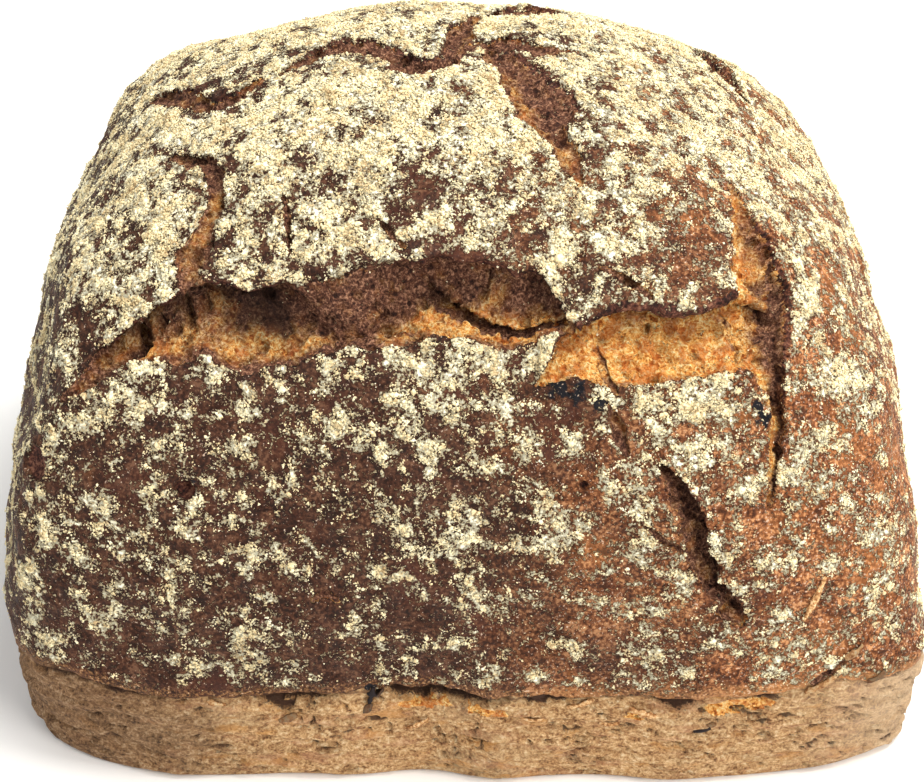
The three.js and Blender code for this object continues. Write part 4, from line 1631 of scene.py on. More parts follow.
    def build(self) -> bpy.types.Object:
        """Builds the band.

        Returns:
            The piece, with its masks.
        """
        shell = wrapped_box((self.cells_wide, self.cells_deep, self.rows))
        drop_face(shell, 1.0)
        grid = places(shell)
        points, outward, lip = self.skin(grid)
        masks = {mask: np.zeros(len(points)) for mask in Mask}
        height = self.relief(points, lip, masks)
        height *= smooth(points[:, 2], 0.2, 1.6) * smooth(points[:, 2], lip + 1.0, lip - 1.0)
        points += outward * height[:, None]
        base = (points[:, 2] < 0.3) & (np.abs(grid[:, :2]).max(axis=1) < 0.985)
        hollows = np.clip(fractal(points, 9.0, 4, 25.0), 0.0, 1.0)
        points[base, 2] += self.base_pit * hollows[base]
        points[:, 2] = np.maximum(points[:, 2], 0.0)
        move_to(shell, points + self.shift)
        close_holes(shell)
        return as_object(shell, "tin_band", masks)


# --------------------------------------------------------------- flour


@dataclass(frozen=True)
class GrainKind:
    """One size of flour, made as one piece of joined small meshes.

    The bar says how likely flour must lie at a place before these grains gather there, and the stray is
    the chance of one anywhere.
    """

    name: str
    shape: GrainShape
    count: int
    smallest: float
    largest: float
    flatness: float
    piled: float
    bar: float
    stray: float


@dataclass(frozen=True)
class FlourDusting:
    """Flour that lies on the crust in clumps, lumps and specks."""

    kinds: tuple[GrainKind, ...] = (
        GrainKind("flour_clumps", GrainShape.CLUMP, 5200, 0.3, 0.62, 0.5, 0.1, 0.8, 0.0),
        GrainKind("flour_lumps", GrainShape.GRAIN, 24500, 0.2, 0.38, 0.75, 0.35, 0.7, 0.005),
        GrainKind("flour_grains", GrainShape.SPECK, 49000, 0.2, 0.36, 0.85, 0.4, 0.61, 0.005),
        GrainKind("flour_flecks", GrainShape.SPECK, 49000, 0.19, 0.34, 0.85, 0.25, 0.53, 0.008),
        GrainKind("flour_specks", GrainShape.SPECK, 40000, 0.14, 0.26, 0.85, 0.15, 0.47, 0.02),
    )
    tries: int = 5
    fray: float = 0.78
    fray_size: float = 1.6
    lip_height: float = 23.0
    seed: int = 7

    @staticmethod
    def grain(shape: GrainShape) -> tuple[Array, Array]:
        """The small mesh that is joined many times.

        Args:
            shape: which one.

        Returns:
            Its points at a radius of 1, and its triangles.
        """
        small = bmesh.new()
        if shape is GrainShape.CLUMP:
            bmesh.ops.create_icosphere(small, subdivisions=1, radius=1.0)
        elif shape is GrainShape.GRAIN:
            bmesh.ops.create_uvsphere(small, u_segments=4, v_segments=2, radius=1.0)
        else:
            bmesh.ops.create_cone(small, cap_ends=True, segments=3, radius1=1.0, radius2=0.0, depth=1.5)
        bmesh.ops.triangulate(small, faces=small.faces)
        bmesh.ops.recalc_face_normals(small, faces=small.faces)
        small.verts.index_update()
        triangles = np.array([[v.index for v in f.verts] for f in small.faces])
        points = places(small)
        small.free()
        return points, triangles

    def scatter(
        self, kind: GrainKind, crust: bpy.types.Object, draws: np.random.Generator
    ) -> bpy.types.Object:
        """Scatters one kind over the crust where flour lies.

        Args:
            kind: the kind.
            crust: the crust, with its dust mask.
            draws: where the random numbers come from.

        Returns:
            The piece.
        """
        mesh = crust.data
        mesh.calc_loop_triangles()
        ends = read(mesh.loop_triangles, "vertices", 3, np.int32)
        spots = read(mesh.vertices, "co", 3).astype(float)
        normals = read(mesh.vertex_normals, "vector", 3).astype(float)
        dust = read(mesh.attributes[Mask.DUST.value].data, "value", 1)[:, 0]
        first, second, third = (spots[ends[:, i]] for i in range(3))
        weight = np.linalg.norm(np.cross(second - first, third - first), axis=1)
        weight *= dust[ends].mean(axis=1) + 0.03
        weight[first[:, 2] < self.lip_height * MM] = 0.0
        tries = kind.count * self.tries
        chosen = ends[draws.choice(len(ends), tries, p=weight / weight.sum())]
        u, v = draws.random((2, tries))
        u, v = np.where(u + v > 1.0, 1.0 - u, u), np.where(u + v > 1.0, 1.0 - v, v)
        shares = np.column_stack([1.0 - u - v, u, v])
        at = np.einsum("ij,ijk->ik", shares, spots[chosen])
        thick = np.einsum("ij,ij->i", shares, dust[chosen])
        thick += self.fray * fractal(at / MM, self.fray_size, 3, 31.0)
        likely = smooth(thick, kind.bar - 0.08, kind.bar + 0.14) + kind.stray
        kept = draws.choice(tries, kind.count, replace=False, p=likely / likely.sum())
        at, thick = at[kept], np.clip(thick[kept] - kind.bar, 0.0, 0.6) / 0.6
        up = unit(np.einsum("ij,ijk->ik", shares[kept], normals[chosen[kept]]))
        radius = kind.smallest + (kind.largest - kind.smallest) * draws.random(kind.count) ** 1.7
        radius *= 0.75 + 0.35 * thick
        lift = radius * 0.1 + kind.piled * draws.random(kind.count) * thick
        return self.joined(kind, at + up * (lift * MM)[:, None], up, radius, draws)

    def joined(
        self, kind: GrainKind, at: Array, up: Array, radius: Array, draws: np.random.Generator
    ) -> bpy.types.Object:
        """Joins one small mesh, turned and sized anew at each place, into one piece.

        Args:
            kind: the kind of grain.
            at: places in metres.
            up: outward normals there.
            radius: radii in millimetres.
            draws: where the random numbers come from.

        Returns:
            The piece.
        """
        points, triangles = self.grain(kind.shape)
        count = len(at)
        side = unit(np.cross(up, unit(draws.normal(size=(count, 3)))))
        frames = np.stack([side, np.cross(up, side), up], axis=1)
        spin = unit(draws.normal(size=(count, 3)))
        first = unit(np.cross(spin, unit(draws.normal(size=(count, 3)))))
        turned = np.stack([first, np.cross(spin, first), spin], axis=1)
        rough = 1.0 + 0.28 * draws.normal(size=(count, len(points), 1))
        stretch = 0.75 + 0.5 * draws.random((count, 1, 3))
        local = np.einsum("pk,ikj->ipj", points, turned) * rough * stretch
        local[:, :, 2] *= kind.flatness
        local *= radius[:, None, None] * MM
        placed = at[:, None, :] + np.einsum("ipk,ikj->ipj", local, frames)
        faces = triangles[None] + (np.arange(count) * len(points))[:, None, None]
        mesh = bpy.data.meshes.new(kind.name)
        mesh.from_pydata(placed.reshape(-1, 3).tolist(), [], faces.reshape(-1, 3).tolist())
        return linked(mesh)

    def build(self, crust: bpy.types.Object) -> list[bpy.types.Object]:
        """Builds every kind.

        Args:
            crust: the crust, with its dust mask.

        Returns:
            The pieces.
        """
        draws = np.random.default_rng(self.seed)
        return [self.scatter(kind, crust, draws) for kind in self.kinds]


# ---------------------------------------------------------- loose bits


@dataclass(frozen=True)
class Shard:
    """A straw, a curl of crust or a crumb that clings to the loaf, from its foot to its tip."""

    foot: Triple
    tip: Triple
    width: float
    thick: float
    curl: float = 0.2
    burnt: float = 0.0


@dataclass(frozen=True)
class LooseBits:
    """The straw and the curls and crumbs of crust along the lip and the band."""

    steps: int = 10
    shards: tuple[Shard, ...] = (
        Shard((61.2, -59.5, 46), (58.2, -61.5, 37.6), 1, 0.5, 0.4),
        Shard((74, -57, 24), (70.5, -59.5, 21.3), 1.1, 0.4, 0.5, 0.55),
        Shard((66.5, -61, 28), (69.5, -60, 30.5), 1.3, 0.4, 0.5, 0.4),
        Shard((60, -61.5, 21), (65, -61, 24.5), 1.2, 0.4, 0.5, 0.3),
        Shard((-15.6, -62, 22.6), (-16.4, -62, 19.4), 1.1, 0.4, 0.4, 0.8),
        Shard((-13.8, -62, 21.6), (-15.6, -62, 20.6), 1.2, 0.5, 0.4, 0.65),
        Shard((-16, -62, 19.2), (-17.6, -62, 17.4), 1, 0.4, 0.3, 0.6),
        Shard((29, -62, 18.3), (34.5, -62, 17.2), 1.3, 0.4, 0.5, 0.2),
        Shard((-29, -62, 16), (-32.5, -62, 14.8), 1.2, 0.4, 0.4, 0.5),
        Shard((-41.5, -62, 18.6), (-45, -62, 19.4), 1, 0.4, 0.4, 0.3),
        Shard((40.4, -62, 13.2), (43.6, -62, 13.4), 1.1, 0.3, 0.2, 0.75),
        Shard((42.6, -62, 14.4), (44.6, -62, 14.6), 0.8, 0.3, 0.3, 0.5),
        Shard((18, -62, 18), (23, -62, 19.5), 1, 0.4, 0.5, 0.2),
        Shard((10, -62, 16.5), (14, -62, 16), 0.9, 0.3, 0.4, 0.2),
        Shard((24, -62, 14), (27.5, -62, 14.6), 0.9, 0.3, 0.4, 0.2),
        Shard((-10, -62, 13), (-6, -62, 13.4), 0.9, 0.3, 0.3, 0.2),
    )

    @staticmethod
    def settle(point: Triple, ground: list[BVHTree]) -> tuple[Array, Array]:
        """The nearest place on the loaf and its outward normal there.

        Args:
            point: a place near the loaf.
            ground: the loaf's own pieces, in metres.

        Returns:
            The place and the normal.
        """
        hits = [tree.find_nearest(Vector(point) * MM) for tree in ground]
        place, normal, _, _ = min(hits, key=lambda hit: hit[3])
        return np.array(place) / MM, np.array(normal)

    def bent(self, shard: Shard, grid: Array, ground: list[BVHTree]) -> Array:
        """Bends a box into one shard.

        Args:
            shard: the shard.
            grid: points of the box, from -1 to 1, its length along x.
            ground: the loaf's own pieces.

        Returns:
            Points, one a row.
        """
        foot, foot_out = self.settle(shard.foot, ground)
        tip, tip_out = self.settle(shard.tip, ground)
        out = unit(foot_out + tip_out)
        side = unit(np.cross(out, tip - foot))
        along = (grid[:, :1] + 1.0) / 2.0
        taper = np.sqrt(np.sin(np.pi * (0.04 + 0.9 * along)))
        points = foot + (tip - foot) * along + out * (shard.curl * np.sin(np.pi * along))
        uneven = 1.0 + 0.9 * fractal(points, 1.0, 3, shard.width)[:, None]
        points = points + side * (grid[:, 1:2] * taper * uneven * shard.width / 2.0)
        cupped = 0.25 * shard.width * (1.0 - grid[:, 1:2] ** 2)
        return points + out * (grid[:, 2:] * shard.thick / 2.0 + cupped)

    def build(self, pieces: list[bpy.types.Object]) -> bpy.types.Object:
        """Builds the bits as one piece.

        Args:
            pieces: the crust and the band that they cling to.

        Returns:
            The piece, with how burnt each bit is.
        """
        layout = bpy.context.evaluated_depsgraph_get()
        ground = [BVHTree.FromObject(piece, layout) for piece in pieces]
        whole = bmesh.new()
        burnt = []
        for shard in self.shards:
            box = wrapped_box((self.steps, 4, 2))
            move_to(box, self.bent(shard, places(box), ground))
            part = bpy.data.meshes.new("shard")
            box.to_mesh(part)
            box.free()
            whole.from_mesh(part)
            burnt += [shard.burnt] * len(part.vertices)
            bpy.data.meshes.remove(part)
        return as_object(whole, "loose_bits", {Mask.CHAR: np.array(burnt)})


# ------------------------------------------------------------ finishes


class NodeBench:
    """Wires one finish. Sizes are given in millimetres."""

    def __init__(self, name: str) -> None:
        """Starts an empty material.

        Args:
            name: name of the finish.
        """
        self.material = bpy.data.materials.new(name)
        self.material.use_nodes = True
        self.nodes = self.material.node_tree.nodes
        self.links = self.material.node_tree.links
        self.nodes.clear()
        self.place = self.node("TexCoord", {}).outputs["Object"]

    def node(self, kind: str, inputs: dict[str | int, object], **settings: str) -> bpy.types.Node:
        """Makes a node.

        Args:
            kind: its kind, without the ShaderNode that all kinds start with.
            inputs: sockets to link to its inputs, or values to give them.
            settings: its own settings, which come first because some change its inputs.

        Returns:
            The node.
        """
        node = self.nodes.new("ShaderNode" + kind)
        for name, setting in settings.items():
            setattr(node, name, setting)
        for key, value in inputs.items():
            if isinstance(value, bpy.types.NodeSocket):
                self.links.new(value, node.inputs[key])
            else:
                node.inputs[key].default_value = value
        return node

    def noise(
        self,
        size: float,
        detail: float = 4.0,
        rough: float = 0.55,
        squash: Triple | None = None,
        shift: float = 0.0,
        twist: float = 0.0,
    ) -> bpy.types.NodeSocket:
        """Noise with features of about this size.

        Args:
            size: size of the largest features.
            detail: how many finer layers it has.
            rough: how strong those are.
            squash: scale of the pattern along each axis; below 1 draws its features out.
            shift: moves the pattern.
            twist: how much it is swirled.

        Returns:
            A socket of about 0.2 to 0.8, with its middle at 0.5.
        """
        place = self.place
        if squash or shift:
            move = (shift * MM, shift * 0.7 * MM, shift * 1.3 * MM)
            scale = squash or (1.0, 1.0, 1.0)
            mapping = self.node("Mapping", {"Vector": place, "Scale": scale, "Location": move})
            place = mapping.outputs["Vector"]
        layers = {"Detail": detail, "Roughness": rough, "Distortion": twist}
        node = self.node("TexNoise", {"Vector": place, "Scale": 1.0 / (size * MM), **layers})
        return node.outputs["Fac"]

    def mixed(self, *layers: tuple[bpy.types.NodeSocket, float]) -> bpy.types.NodeSocket:
        """A weighted sum of sockets."""
        total = self.work("MULTIPLY", *layers[0])
        for socket, weight in layers[1:]:
            total = self.work("MULTIPLY_ADD", socket, weight, total)
        return total

    def bubbles(self, size: float, walls: bool = False, sway: float = 0.0) -> bpy.types.NodeSocket:
        """Distances in a scatter of bubbles, in spacings.

        Args:
            size: mean spacing of the bubbles.
            walls: whether to give the distance to the walls between them, not to their middles.
            sway: how far the walls bend.

        Returns:
            The distance.
        """
        place = self.place
        if sway:
            bend = self.node("TexNoise", {"Vector": place, "Scale": 1.0 / (1.4 * size * MM)})
            swayed = {0: bend.outputs["Color"], 1: (sway * MM,) * 3, 2: place}
            place = self.node("VectorMath", swayed, operation="MULTIPLY_ADD").outputs[0]
        feature = "DISTANCE_TO_EDGE" if walls else "F1"
        node = self.node("TexVoronoi", {"Vector": place, "Scale": 1.0 / (size * MM)}, feature=feature)
        return node.outputs["Distance"]

    def along(self, axis: str, low: float, high: float) -> bpy.types.NodeSocket:
        """A grade from 0 to 1 between two places along an axis, in millimetres."""
        split = self.node("SeparateXYZ", {0: self.place})
        return self.grade(split.outputs[axis], low * MM, high * MM)

    def mask(self, mask: Mask) -> bpy.types.NodeSocket:
        """One of the piece's point attributes."""
        return self.node("Attribute", {}, attribute_name=mask.value).outputs["Fac"]

    def grade(
        self, value: bpy.types.NodeSocket, low: float, high: float, start: float = 0.0, end: float = 1.0
    ) -> bpy.types.NodeSocket:
        """Grades a value smoothly.

        Args:
            value: the value.
            low: where the grade begins.
            high: where it ends.
            start: what it gives at low.
            end: what it gives at high.

        Returns:
            The graded value.
        """
        inputs = {"Value": value, "From Min": low, "From Max": high, "To Min": start, "To Max": end}
        return self.node("MapRange", inputs, interpolation_type="SMOOTHSTEP").outputs["Result"]

    def work(self, operation: str, *values: object) -> bpy.types.NodeSocket:
        """Works out one sum.

        Args:
            operation: which, as the Math node names it.
            values: what it is worked out from, each a socket or a number.

        Returns:
            The result.
        """
        return self.node("Math", dict(enumerate(values)), operation=operation).outputs[0]

    def blend(self, share: object, first: object, second: object) -> bpy.types.NodeSocket:
        """Blends two colours.

        Args:
            share: how much of the second, a socket or a number.
            first: a colour or a socket.
            second: a colour or a socket.

        Returns:
            The blend.
        """
        # Inputs 6 and 7 and output 2 are this node's sockets for colours.
        return self.node("Mix", {0: share, 6: first, 7: second}, data_type="RGBA").outputs[2]

    def stain(
        self,
        under: bpy.types.NodeSocket,
        colour: Colour,
        value: bpy.types.NodeSocket,
        reach: tuple[float, float],
        share: float = 1.0,
    ) -> bpy.types.NodeSocket:
        """Lays a plain colour over another where a value is high.

        Args:
            under: the colour below.
            colour: the display colour laid over it.
            value: what decides where.
            reach: where in the value it begins and where it is strongest.
            share: how much of it shows there.

        Returns:
            The stained colour.
        """
        return self.blend(self.grade(value, *reach, 0.0, share), under, srgb(*colour))

    def ramp(
        self, value: bpy.types.NodeSocket, stops: tuple[float, ...], colours: tuple[Colour, ...]
    ) -> bpy.types.NodeSocket:
        """Turns a value into a colour.

        Args:
            value: the value.
            stops: places from 0 to 1.
            colours: their display colours.

        Returns:
            The colour.
        """
        node = self.node("ValToRGB", {"Fac": value})
        band = node.color_ramp
        while len(band.elements) < len(stops):
            band.elements.new(0.5)
        for element, place, colour in zip(band.elements, stops, colours):
            element.position = place
            element.color = srgb(*colour)
        return node.outputs["Color"]

    def bump(self, height: bpy.types.NodeSocket, depth: float, under: object = None) -> bpy.types.NodeSocket:
        """A bump of this depth, on top of another where one is given."""
        inputs = {"Strength": 1.0, "Distance": depth * MM, "Height": height}
        if under is not None:
            inputs["Normal"] = under
        return self.node("Bump", inputs).outputs["Normal"]

    def finish(
        self, colour: bpy.types.NodeSocket, roughness: object, normal: bpy.types.NodeSocket, gloss: float
    ) -> bpy.types.Material:
        """Ends the finish in a shader.

        Args:
            colour: its colour.
            roughness: its roughness, a socket or a number.
            normal: its bumped normal.
            gloss: its specular level.

        Returns:
            The material.
        """
        looks = {"Base Color": colour, "Roughness": roughness, "Normal": normal}
        shader = self.node("BsdfPrincipled", {**looks, "Specular IOR Level": gloss})
        self.node("OutputMaterial", {"Surface": shader.outputs["BSDF"]})
        return self.material


@dataclass(frozen=True)
class CrumbColours:
    """Colours of torn crumb, from a bright shelf to a dark red wall."""

    bright: tuple[Colour, ...] = ((156, 80, 24), (222, 142, 62), (252, 190, 104), (255, 234, 172))
    dark: tuple[Colour, ...] = ((45, 27, 21), (79, 48, 37), (114, 74, 56), (184, 137, 108))
    ember: Colour = (190, 98, 42)
    shadow: Colour = (42, 27, 22)

    def wire(self, bench: NodeBench) -> tuple[bpy.types.NodeSocket, bpy.types.NodeSocket]:
        """The crumb's colour and its height.

        Args:
            bench: the finish being wired.

        Returns:
            The colour, and a height from 0 to 1.
        """
        fibre = bench.noise(1.5, 4.0, 0.7, twist=2.4)
        grain = bench.noise(0.55, 3.0, 0.65, shift=23.0)
        walls = bench.grade(bench.bubbles(0.8, True, 1.1), 0.0, 0.22, 0.035, -0.02)
        holes = bench.grade(bench.bubbles(2.1, sway=0.9), 0.1, 0.32, -0.13, 0.02)
        height = bench.mixed((fibre, 0.5), (grain, 0.5), (holes, 1.0), (walls, 1.0))
        # The crumb's colour follows its bump height: a painted highlight where it stands high and painted
        # shade in its holes.
        stops = (0.38, 0.46, 0.54, 0.63)
        patchy = bench.mixed((bench.noise(4.0, 5.0, 0.65, shift=31.0), 1.8), (bench.mask(Mask.TOAST), 1.0))
        toast = bench.grade(patchy, 0.88, 1.85)
        embers = bench.noise(3.2, 4.0, 0.6, shift=77.0)
        bright = bench.stain(bench.ramp(height, stops, self.bright), self.ember, embers, (0.48, 0.6), 0.62)
        colour = bench.blend(toast, bright, bench.ramp(height, stops, self.dark))
        # Painted shade where the crumb lies deep or under a flap.
        return bench.stain(colour, self.shadow, bench.mask(Mask.PAINTED_SHADE), (0.45, 1.15), 0.92), height


@dataclass(frozen=True)
class CrustFinish:
    """Dark rye crust, redder and lighter to the right, with crumb in its tears and a film of flour."""

    left: tuple[Colour, ...] = ((34, 18, 11), (54, 30, 20), (71, 42, 28), (104, 72, 53))
    right: tuple[Colour, ...] = ((67, 35, 17), (107, 61, 33), (144, 89, 53), (210, 152, 103))
    red: Colour = (78, 40, 29)
    orange: Colour = (176, 112, 60)
    golden: Colour = (176, 128, 80)
    mealy: Colour = (226, 200, 176)
    # Painted shade round the flour's clumps.
    gap: Colour = (40, 24, 15)
    thickest: float = 0.76
    rim: tuple[Colour, ...] = ((28, 14, 11), (60, 32, 26), (90, 52, 42), (134, 92, 72))
    char: Colour = (20, 20, 25)
    flour: tuple[Colour, ...] = ((192, 158, 112), (234, 210, 162), (251, 235, 192), (255, 249, 220))

    def crust(self, bench: NodeBench, crumb: bpy.types.NodeSocket) -> bpy.types.NodeSocket:
        """Colour of the bare crust, its torn edges and its burnt spots.

        Args:
            bench: the finish being wired.
            crumb: colour of the crumb in its tears.

        Returns:
            The colour.
        """
        grain = bench.noise(0.65, 3.0, 0.62)
        mottle = bench.mixed((bench.noise(3.2, 5.0, 0.65), 0.42), (grain, 0.58))
        stops = (0.41, 0.47, 0.53, 0.6)
        sway = bench.noise(24.0, 3.0)
        side = bench.mixed((bench.along("X", -45.0, 85.0), 1.0), (sway, 1.2))
        right = bench.grade(side, 0.8, 1.6)
        ends = (bench.ramp(mottle, stops, shades) for shades in (self.left, self.right))
        colour = bench.blend(right, *ends)
        colour = bench.stain(colour, self.red, bench.noise(11.0, 3.0, shift=17.0), (0.52, 0.68), 0.4)
        glow = bench.mixed((bench.noise(14.0, 4.0, 0.6, shift=53.0), 1.0), (right, 0.22))
        colour = bench.stain(colour, self.orange, glow, (0.68, 0.86), 0.35)
        speck = bench.noise(0.5, 2.0, 0.6, shift=41.0)
        lip = bench.mixed((bench.mask(Mask.LIP), 0.4), (speck, 0.9), (right, 0.12))
        colour = bench.stain(colour, self.golden, lip, (0.76, 1.05), 0.7)
        ragged = bench.mixed((bench.noise(1.2, 5.0, 0.8, shift=4.0), 2.2), (bench.mask(Mask.CHAR), 1.0))
        colour = bench.stain(colour, self.char, ragged, (1.5, 1.85))
        mealy = bench.mixed((speck, 1.0), (right, 0.045))
        colour = bench.stain(colour, self.mealy, mealy, (0.66, 0.705), 0.6)
        ragged = bench.mixed((speck, 0.9), (bench.mask(Mask.DARK_EDGE_AND_LIP_SHADE), 0.8))
        rim = bench.ramp(mottle, stops, self.rim)
        colour = bench.blend(bench.grade(ragged, 0.75, 0.95, 0.0, 0.92), colour, rim)
        ragged = bench.mixed((grain, 1.0), (bench.mask(Mask.TORN), 1.0))
        return bench.blend(bench.grade(ragged, 0.88, 1.08), colour, crumb)

    def make(self) -> bpy.types.Material:
        """Wires the finish.

        Returns:
            The material.
        """
        bench = NodeBench("rye_crust")
        crumb, crumb_height = CrumbColours().wire(bench)
        clods = bench.noise(1.5, 5.0, 0.84, shift=5.0)
        powder = bench.noise(0.5, 2.0, 0.6, shift=9.0)
        puffs = bench.bubbles(1.35, sway=1.0)
        dust = bench.work("MINIMUM", bench.mask(Mask.DUST), self.thickest)
        heap = bench.mixed((clods, 1.0), (puffs, -0.2), (powder, 0.65), (dust, 0.44))
        film = bench.grade(heap, 0.957, 0.973)
        specks = bench.grade(bench.mixed((powder, 1.0), (dust, 0.36)), 0.775, 0.81, 0.0, 0.95)
        film = bench.work("MAXIMUM", film, specks)
        shade = bench.mixed((bench.grade(heap, 0.94, 1.09), 1.0), (specks, 0.3))
        shade = bench.ramp(shade, (0.0, 0.25, 0.55, 1.0), self.flour)
        # Painted shade on the crust round the flour's clumps.
        crust = bench.stain(self.crust(bench, crumb), self.gap, heap, (0.85, 0.94), 0.7)
        colour = bench.blend(film, crust, shade)
        skin = bench.noise(0.9, 4.0, 0.7, shift=2.0)
        torn = bench.mask(Mask.TORN)
        normal = bench.bump(skin, 0.3)
        normal = bench.bump(bench.work("MULTIPLY", crumb_height, torn), 1.4, normal)
        normal = bench.bump(bench.grade(heap, 0.9, 1.14), 0.9, normal)
        roughness = bench.grade(bench.noise(3.0, 3.0), 0.3, 0.7, 0.6, 0.9)
        return bench.finish(colour, roughness, normal, 0.18)


@dataclass(frozen=True)
class BandFinish:
    """Tan crust that the tin held, with level streaks and bared crumb under the lip."""

    tan: tuple[Colour, ...] = ((104, 66, 37), (177, 131, 86), (215, 173, 121), (250, 223, 180))
    brown: tuple[Colour, ...] = ((50, 32, 20), (98, 69, 46), (130, 96, 66), (178, 144, 112))
    grey: Colour = (170, 146, 112)
    red: Colour = (196, 138, 104)
    golden: Colour = (214, 152, 80)
    pale: Colour = (214, 188, 156)
    # Painted shade in the pits, cracks and gaps under the lip.
    recess_shade: Colour = (60, 37, 27)
    # Painted shade under the lip and in its gaps.
    rim: Colour = (92, 58, 40)
    level: Triple = (0.6, 0.6, 2.0)

    def make(self) -> bpy.types.Material:
        """Wires the finish.

        Returns:
            The material.
        """
        bench = NodeBench("tin_crust")
        crumb, _ = CrumbColours().wire(bench)
        streak = bench.noise(1.0, 6.0, 0.78, squash=(0.55, 0.55, 1.0))
        grain = bench.noise(0.5, 2.0, 0.6)
        pattern = bench.mixed((streak, 0.62), (grain, 0.38))
        stops = (0.38, 0.455, 0.53, 0.63)
        sway = bench.noise(26.0, 3.0, shift=61.0)
        greyed = bench.noise(18.0, 4.0, squash=(1.0, 1.0, 2.5))
        colour = bench.stain(bench.ramp(pattern, stops, self.tan), self.grey, greyed, (0.5, 0.68), 0.3)
        rosy = bench.noise(7.0, 5.0, 0.65, squash=self.level, shift=12.0)
        colour = bench.stain(colour, self.red, rosy, (0.5, 0.66), 0.4)
        warm = bench.noise(6.0, 5.0, 0.65, squash=self.level, shift=33.0)
        colour = bench.stain(colour, self.golden, warm, (0.54, 0.66), 0.5)
        dim = bench.mixed((bench.along("X", -25.0, -75.0), 0.8), (sway, 1.0))
        brown = bench.ramp(pattern, stops, self.brown)
        colour = bench.blend(bench.grade(dim, 0.55, 1.2, 0.0, 0.82), colour, brown)
        pale = bench.mixed((bench.along("X", 48.0, 86.0), 0.7), (sway, 0.6))
        colour = bench.stain(colour, self.pale, pale, (0.35, 1.0), 0.55)
        # Painted shade under the lip and in its gaps.
        ragged = bench.mixed((grain, 0.9), (bench.mask(Mask.DARK_EDGE_AND_LIP_SHADE), 0.6))
        colour = bench.stain(colour, self.rim, ragged, (0.7, 0.95), 0.75)
        ragged = bench.mixed((grain, 0.9), (bench.mask(Mask.TORN), 1.0))
        colour = bench.blend(bench.grade(ragged, 0.88, 1.0), colour, crumb)
        # Painted shade in the pits, cracks and gaps under the lip.
        ragged = bench.mixed((grain, 0.9), (bench.mask(Mask.PAINTED_SHADE), 0.8))
        colour = bench.stain(colour, self.recess_shade, ragged, (0.72, 1.0), 0.85)
        normal = bench.bump(streak, 0.9, bench.bump(grain, 0.35))
        return bench.finish(colour, bench.grade(grain, 0.3, 0.7, 0.7, 0.93), normal, 0.3)


@dataclass(frozen=True)
class FlourFinish:
    """Loose cream flour, yellower in its clumps."""

    shades: tuple[Colour, ...] = ((188, 160, 118), (238, 220, 174), (254, 242, 202), (255, 251, 228))

    def make(self) -> bpy.types.Material:
        """Wires the finish.

        Returns:
            The material.
        """
        bench = NodeBench("loose_flour")
        shade = bench.mixed((bench.noise(3.6, 3.0, 0.6), 0.5), (bench.noise(0.6, 3.0, 0.7), 0.5))
        colour = bench.ramp(shade, (0.38, 0.47, 0.55, 0.64), self.shades)
        return bench.finish(colour, 0.95, bench.bump(bench.noise(0.3, 3.0, 0.7), 0.12), 0.15)


@dataclass(frozen=True)
class BitsFinish:
    """Straw and shards of crust, tan where they are pale and nearly black where they are burnt."""

    tan: tuple[Colour, ...] = ((120, 76, 40), (178, 128, 80), (222, 178, 124), (250, 222, 176))
    burnt: Colour = (30, 24, 26)

    def make(self) -> bpy.types.Material:
        """Wires the finish.

        Returns:
            The material.
        """
        bench = NodeBench("shard_crust")
        grain = bench.noise(0.7, 4.0, 0.7)
        ragged = bench.mixed((grain, 0.8), (bench.mask(Mask.CHAR), 1.0))
        colour = bench.ramp(grain, (0.38, 0.47, 0.55, 0.64), self.tan)
        colour = bench.stain(colour, self.burnt, ragged, (0.45, 1.2))
        return bench.finish(colour, 0.8, bench.bump(grain, 0.2), 0.25)


# -------------------------------------------------------------- studio


@dataclass(frozen=True)
class SoftBox:
    """A square soft light, aimed at the loaf. Sizes in metres."""

    name: str
    bearing: float
    rise: float
    distance: float
    size: float
    power: float
    colour: Colour = (255, 255, 255)


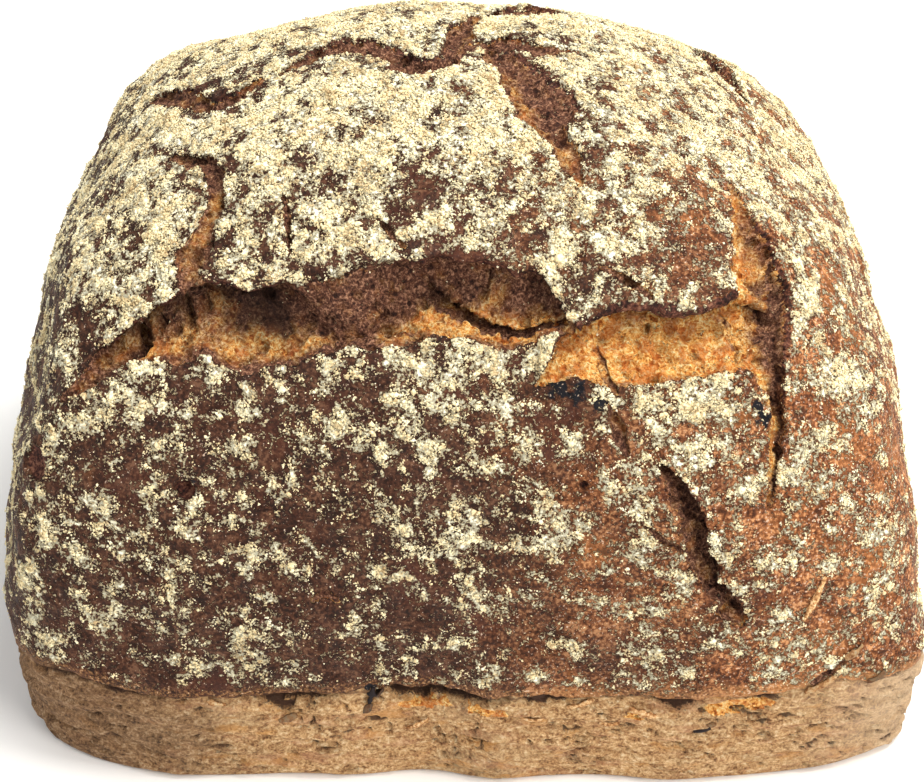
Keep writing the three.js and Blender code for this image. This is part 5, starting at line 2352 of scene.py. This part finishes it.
@dataclass(frozen=True)
class Studio:
    """A pale floor, soft light and a camera that looks down on the front of the loaf. Sizes in metres."""

    target: Triple = (-0.00074, -0.00011, 0.0425)
    camera_bearing: float = 0.5
    camera_rise: float = 35.0
    camera_distance: float = 0.43
    focal_length: float = 87.52
    sensor_width: float = 36.0
    nearest: float = 0.01
    floor_size: float = 6.0
    sky: float = 0.66
    lights: tuple[SoftBox, ...] = (
        SoftBox("overhead", 80.0, 72.0, 0.9, 0.4, 7.9, (255, 252, 246)),
        SoftBox("front_right", 40.0, 36.0, 1.1, 0.45, 6.2, (255, 249, 242)),
        SoftBox("front_left", -60.0, 30.0, 1.3, 0.8, 2.0),
    )

    def aim(self, thing: bpy.types.Object, bearing: float, rise: float, distance: float) -> None:
        """Puts a thing at a bearing, rise and distance from the target, and turns it towards it."""
        way = Vector(towards(bearing, rise).tolist())
        thing.location = Vector(self.target) + way * distance
        thing.rotation_euler = (-way).to_track_quat("-Z", "Y").to_euler()
        bpy.context.scene.collection.objects.link(thing)

    def camera(self) -> None:
        """Makes the camera and has the scene use it."""
        data = bpy.data.cameras.new("camera")
        data.lens = self.focal_length
        data.sensor_width = self.sensor_width
        data.sensor_fit = "HORIZONTAL"
        data.clip_start = self.nearest
        camera = bpy.data.objects.new("camera", data)
        self.aim(camera, self.camera_bearing, self.camera_rise, self.camera_distance)
        bpy.context.scene.camera = camera

    def floor(self) -> None:
        """Makes the floor under the loaf."""
        plane = bmesh.new()
        bmesh.ops.create_grid(plane, x_segments=1, y_segments=1, size=self.floor_size / 2.0)
        mesh = bpy.data.meshes.new("floor")
        plane.to_mesh(mesh)
        plane.free()
        floor = bpy.data.objects.new("floor", mesh)
        bpy.context.scene.collection.objects.link(floor)
        bench = NodeBench("pale_floor")
        colour = bench.ramp(bench.noise(300.0, 2.0), (0.3, 0.7), ((244, 244, 243), (248, 248, 247)))
        mesh.materials.append(bench.finish(colour, 0.9, bench.bump(bench.noise(4.0), 0.01), 0.2))

    def light(self) -> None:
        """Lights the scene with soft boxes and a plain sky."""
        for box in self.lights:
            data = bpy.data.lights.new(box.name, "AREA")
            data.size = box.size
            data.energy = box.power
            data.color = srgb(*box.colour)[:3]
            self.aim(bpy.data.objects.new(box.name, data), box.bearing, box.rise, box.distance)
        world = bpy.data.worlds.new("sky")
        bpy.context.scene.world = world
        world.use_nodes = True
        background = world.node_tree.nodes["Background"]
        background.inputs["Color"].default_value = (1.0, 1.0, 1.0, 1.0)
        background.inputs["Strength"].default_value = self.sky
        bpy.context.scene.view_settings.view_transform = "Standard"


# ---------------------------------------------------------------- main


def report(piece: bpy.types.Object) -> None:
    """Logs a finished piece."""
    triangles = sum(len(face.vertices) - 2 for face in piece.data.polygons)
    LOG.info("%s: %d triangles", piece.name, triangles)


def main() -> None:
    """Builds the studio and every piece of the loaf."""
    logging.basicConfig(level=logging.INFO, format="%(message)s")
    studio = Studio()
    studio.camera()
    form = LoafForm()
    shift = form.shift()
    LOG.info("form shifted by %.3f, %.3f mm", shift[0], shift[1])
    crust = dress(CrustDome(form, shift).build(), CrustFinish().make())
    report(crust)
    band = dress(TinBand(form, shift).build(), BandFinish().make())
    report(band)
    report(dress(LooseBits().build([crust, band]), BitsFinish().make()))
    flour = FlourFinish().make()
    for piece in FlourDusting().build(crust):
        report(dress(piece, flour))
    studio.floor()
    studio.light()


if __name__ == "__main__":
    main()
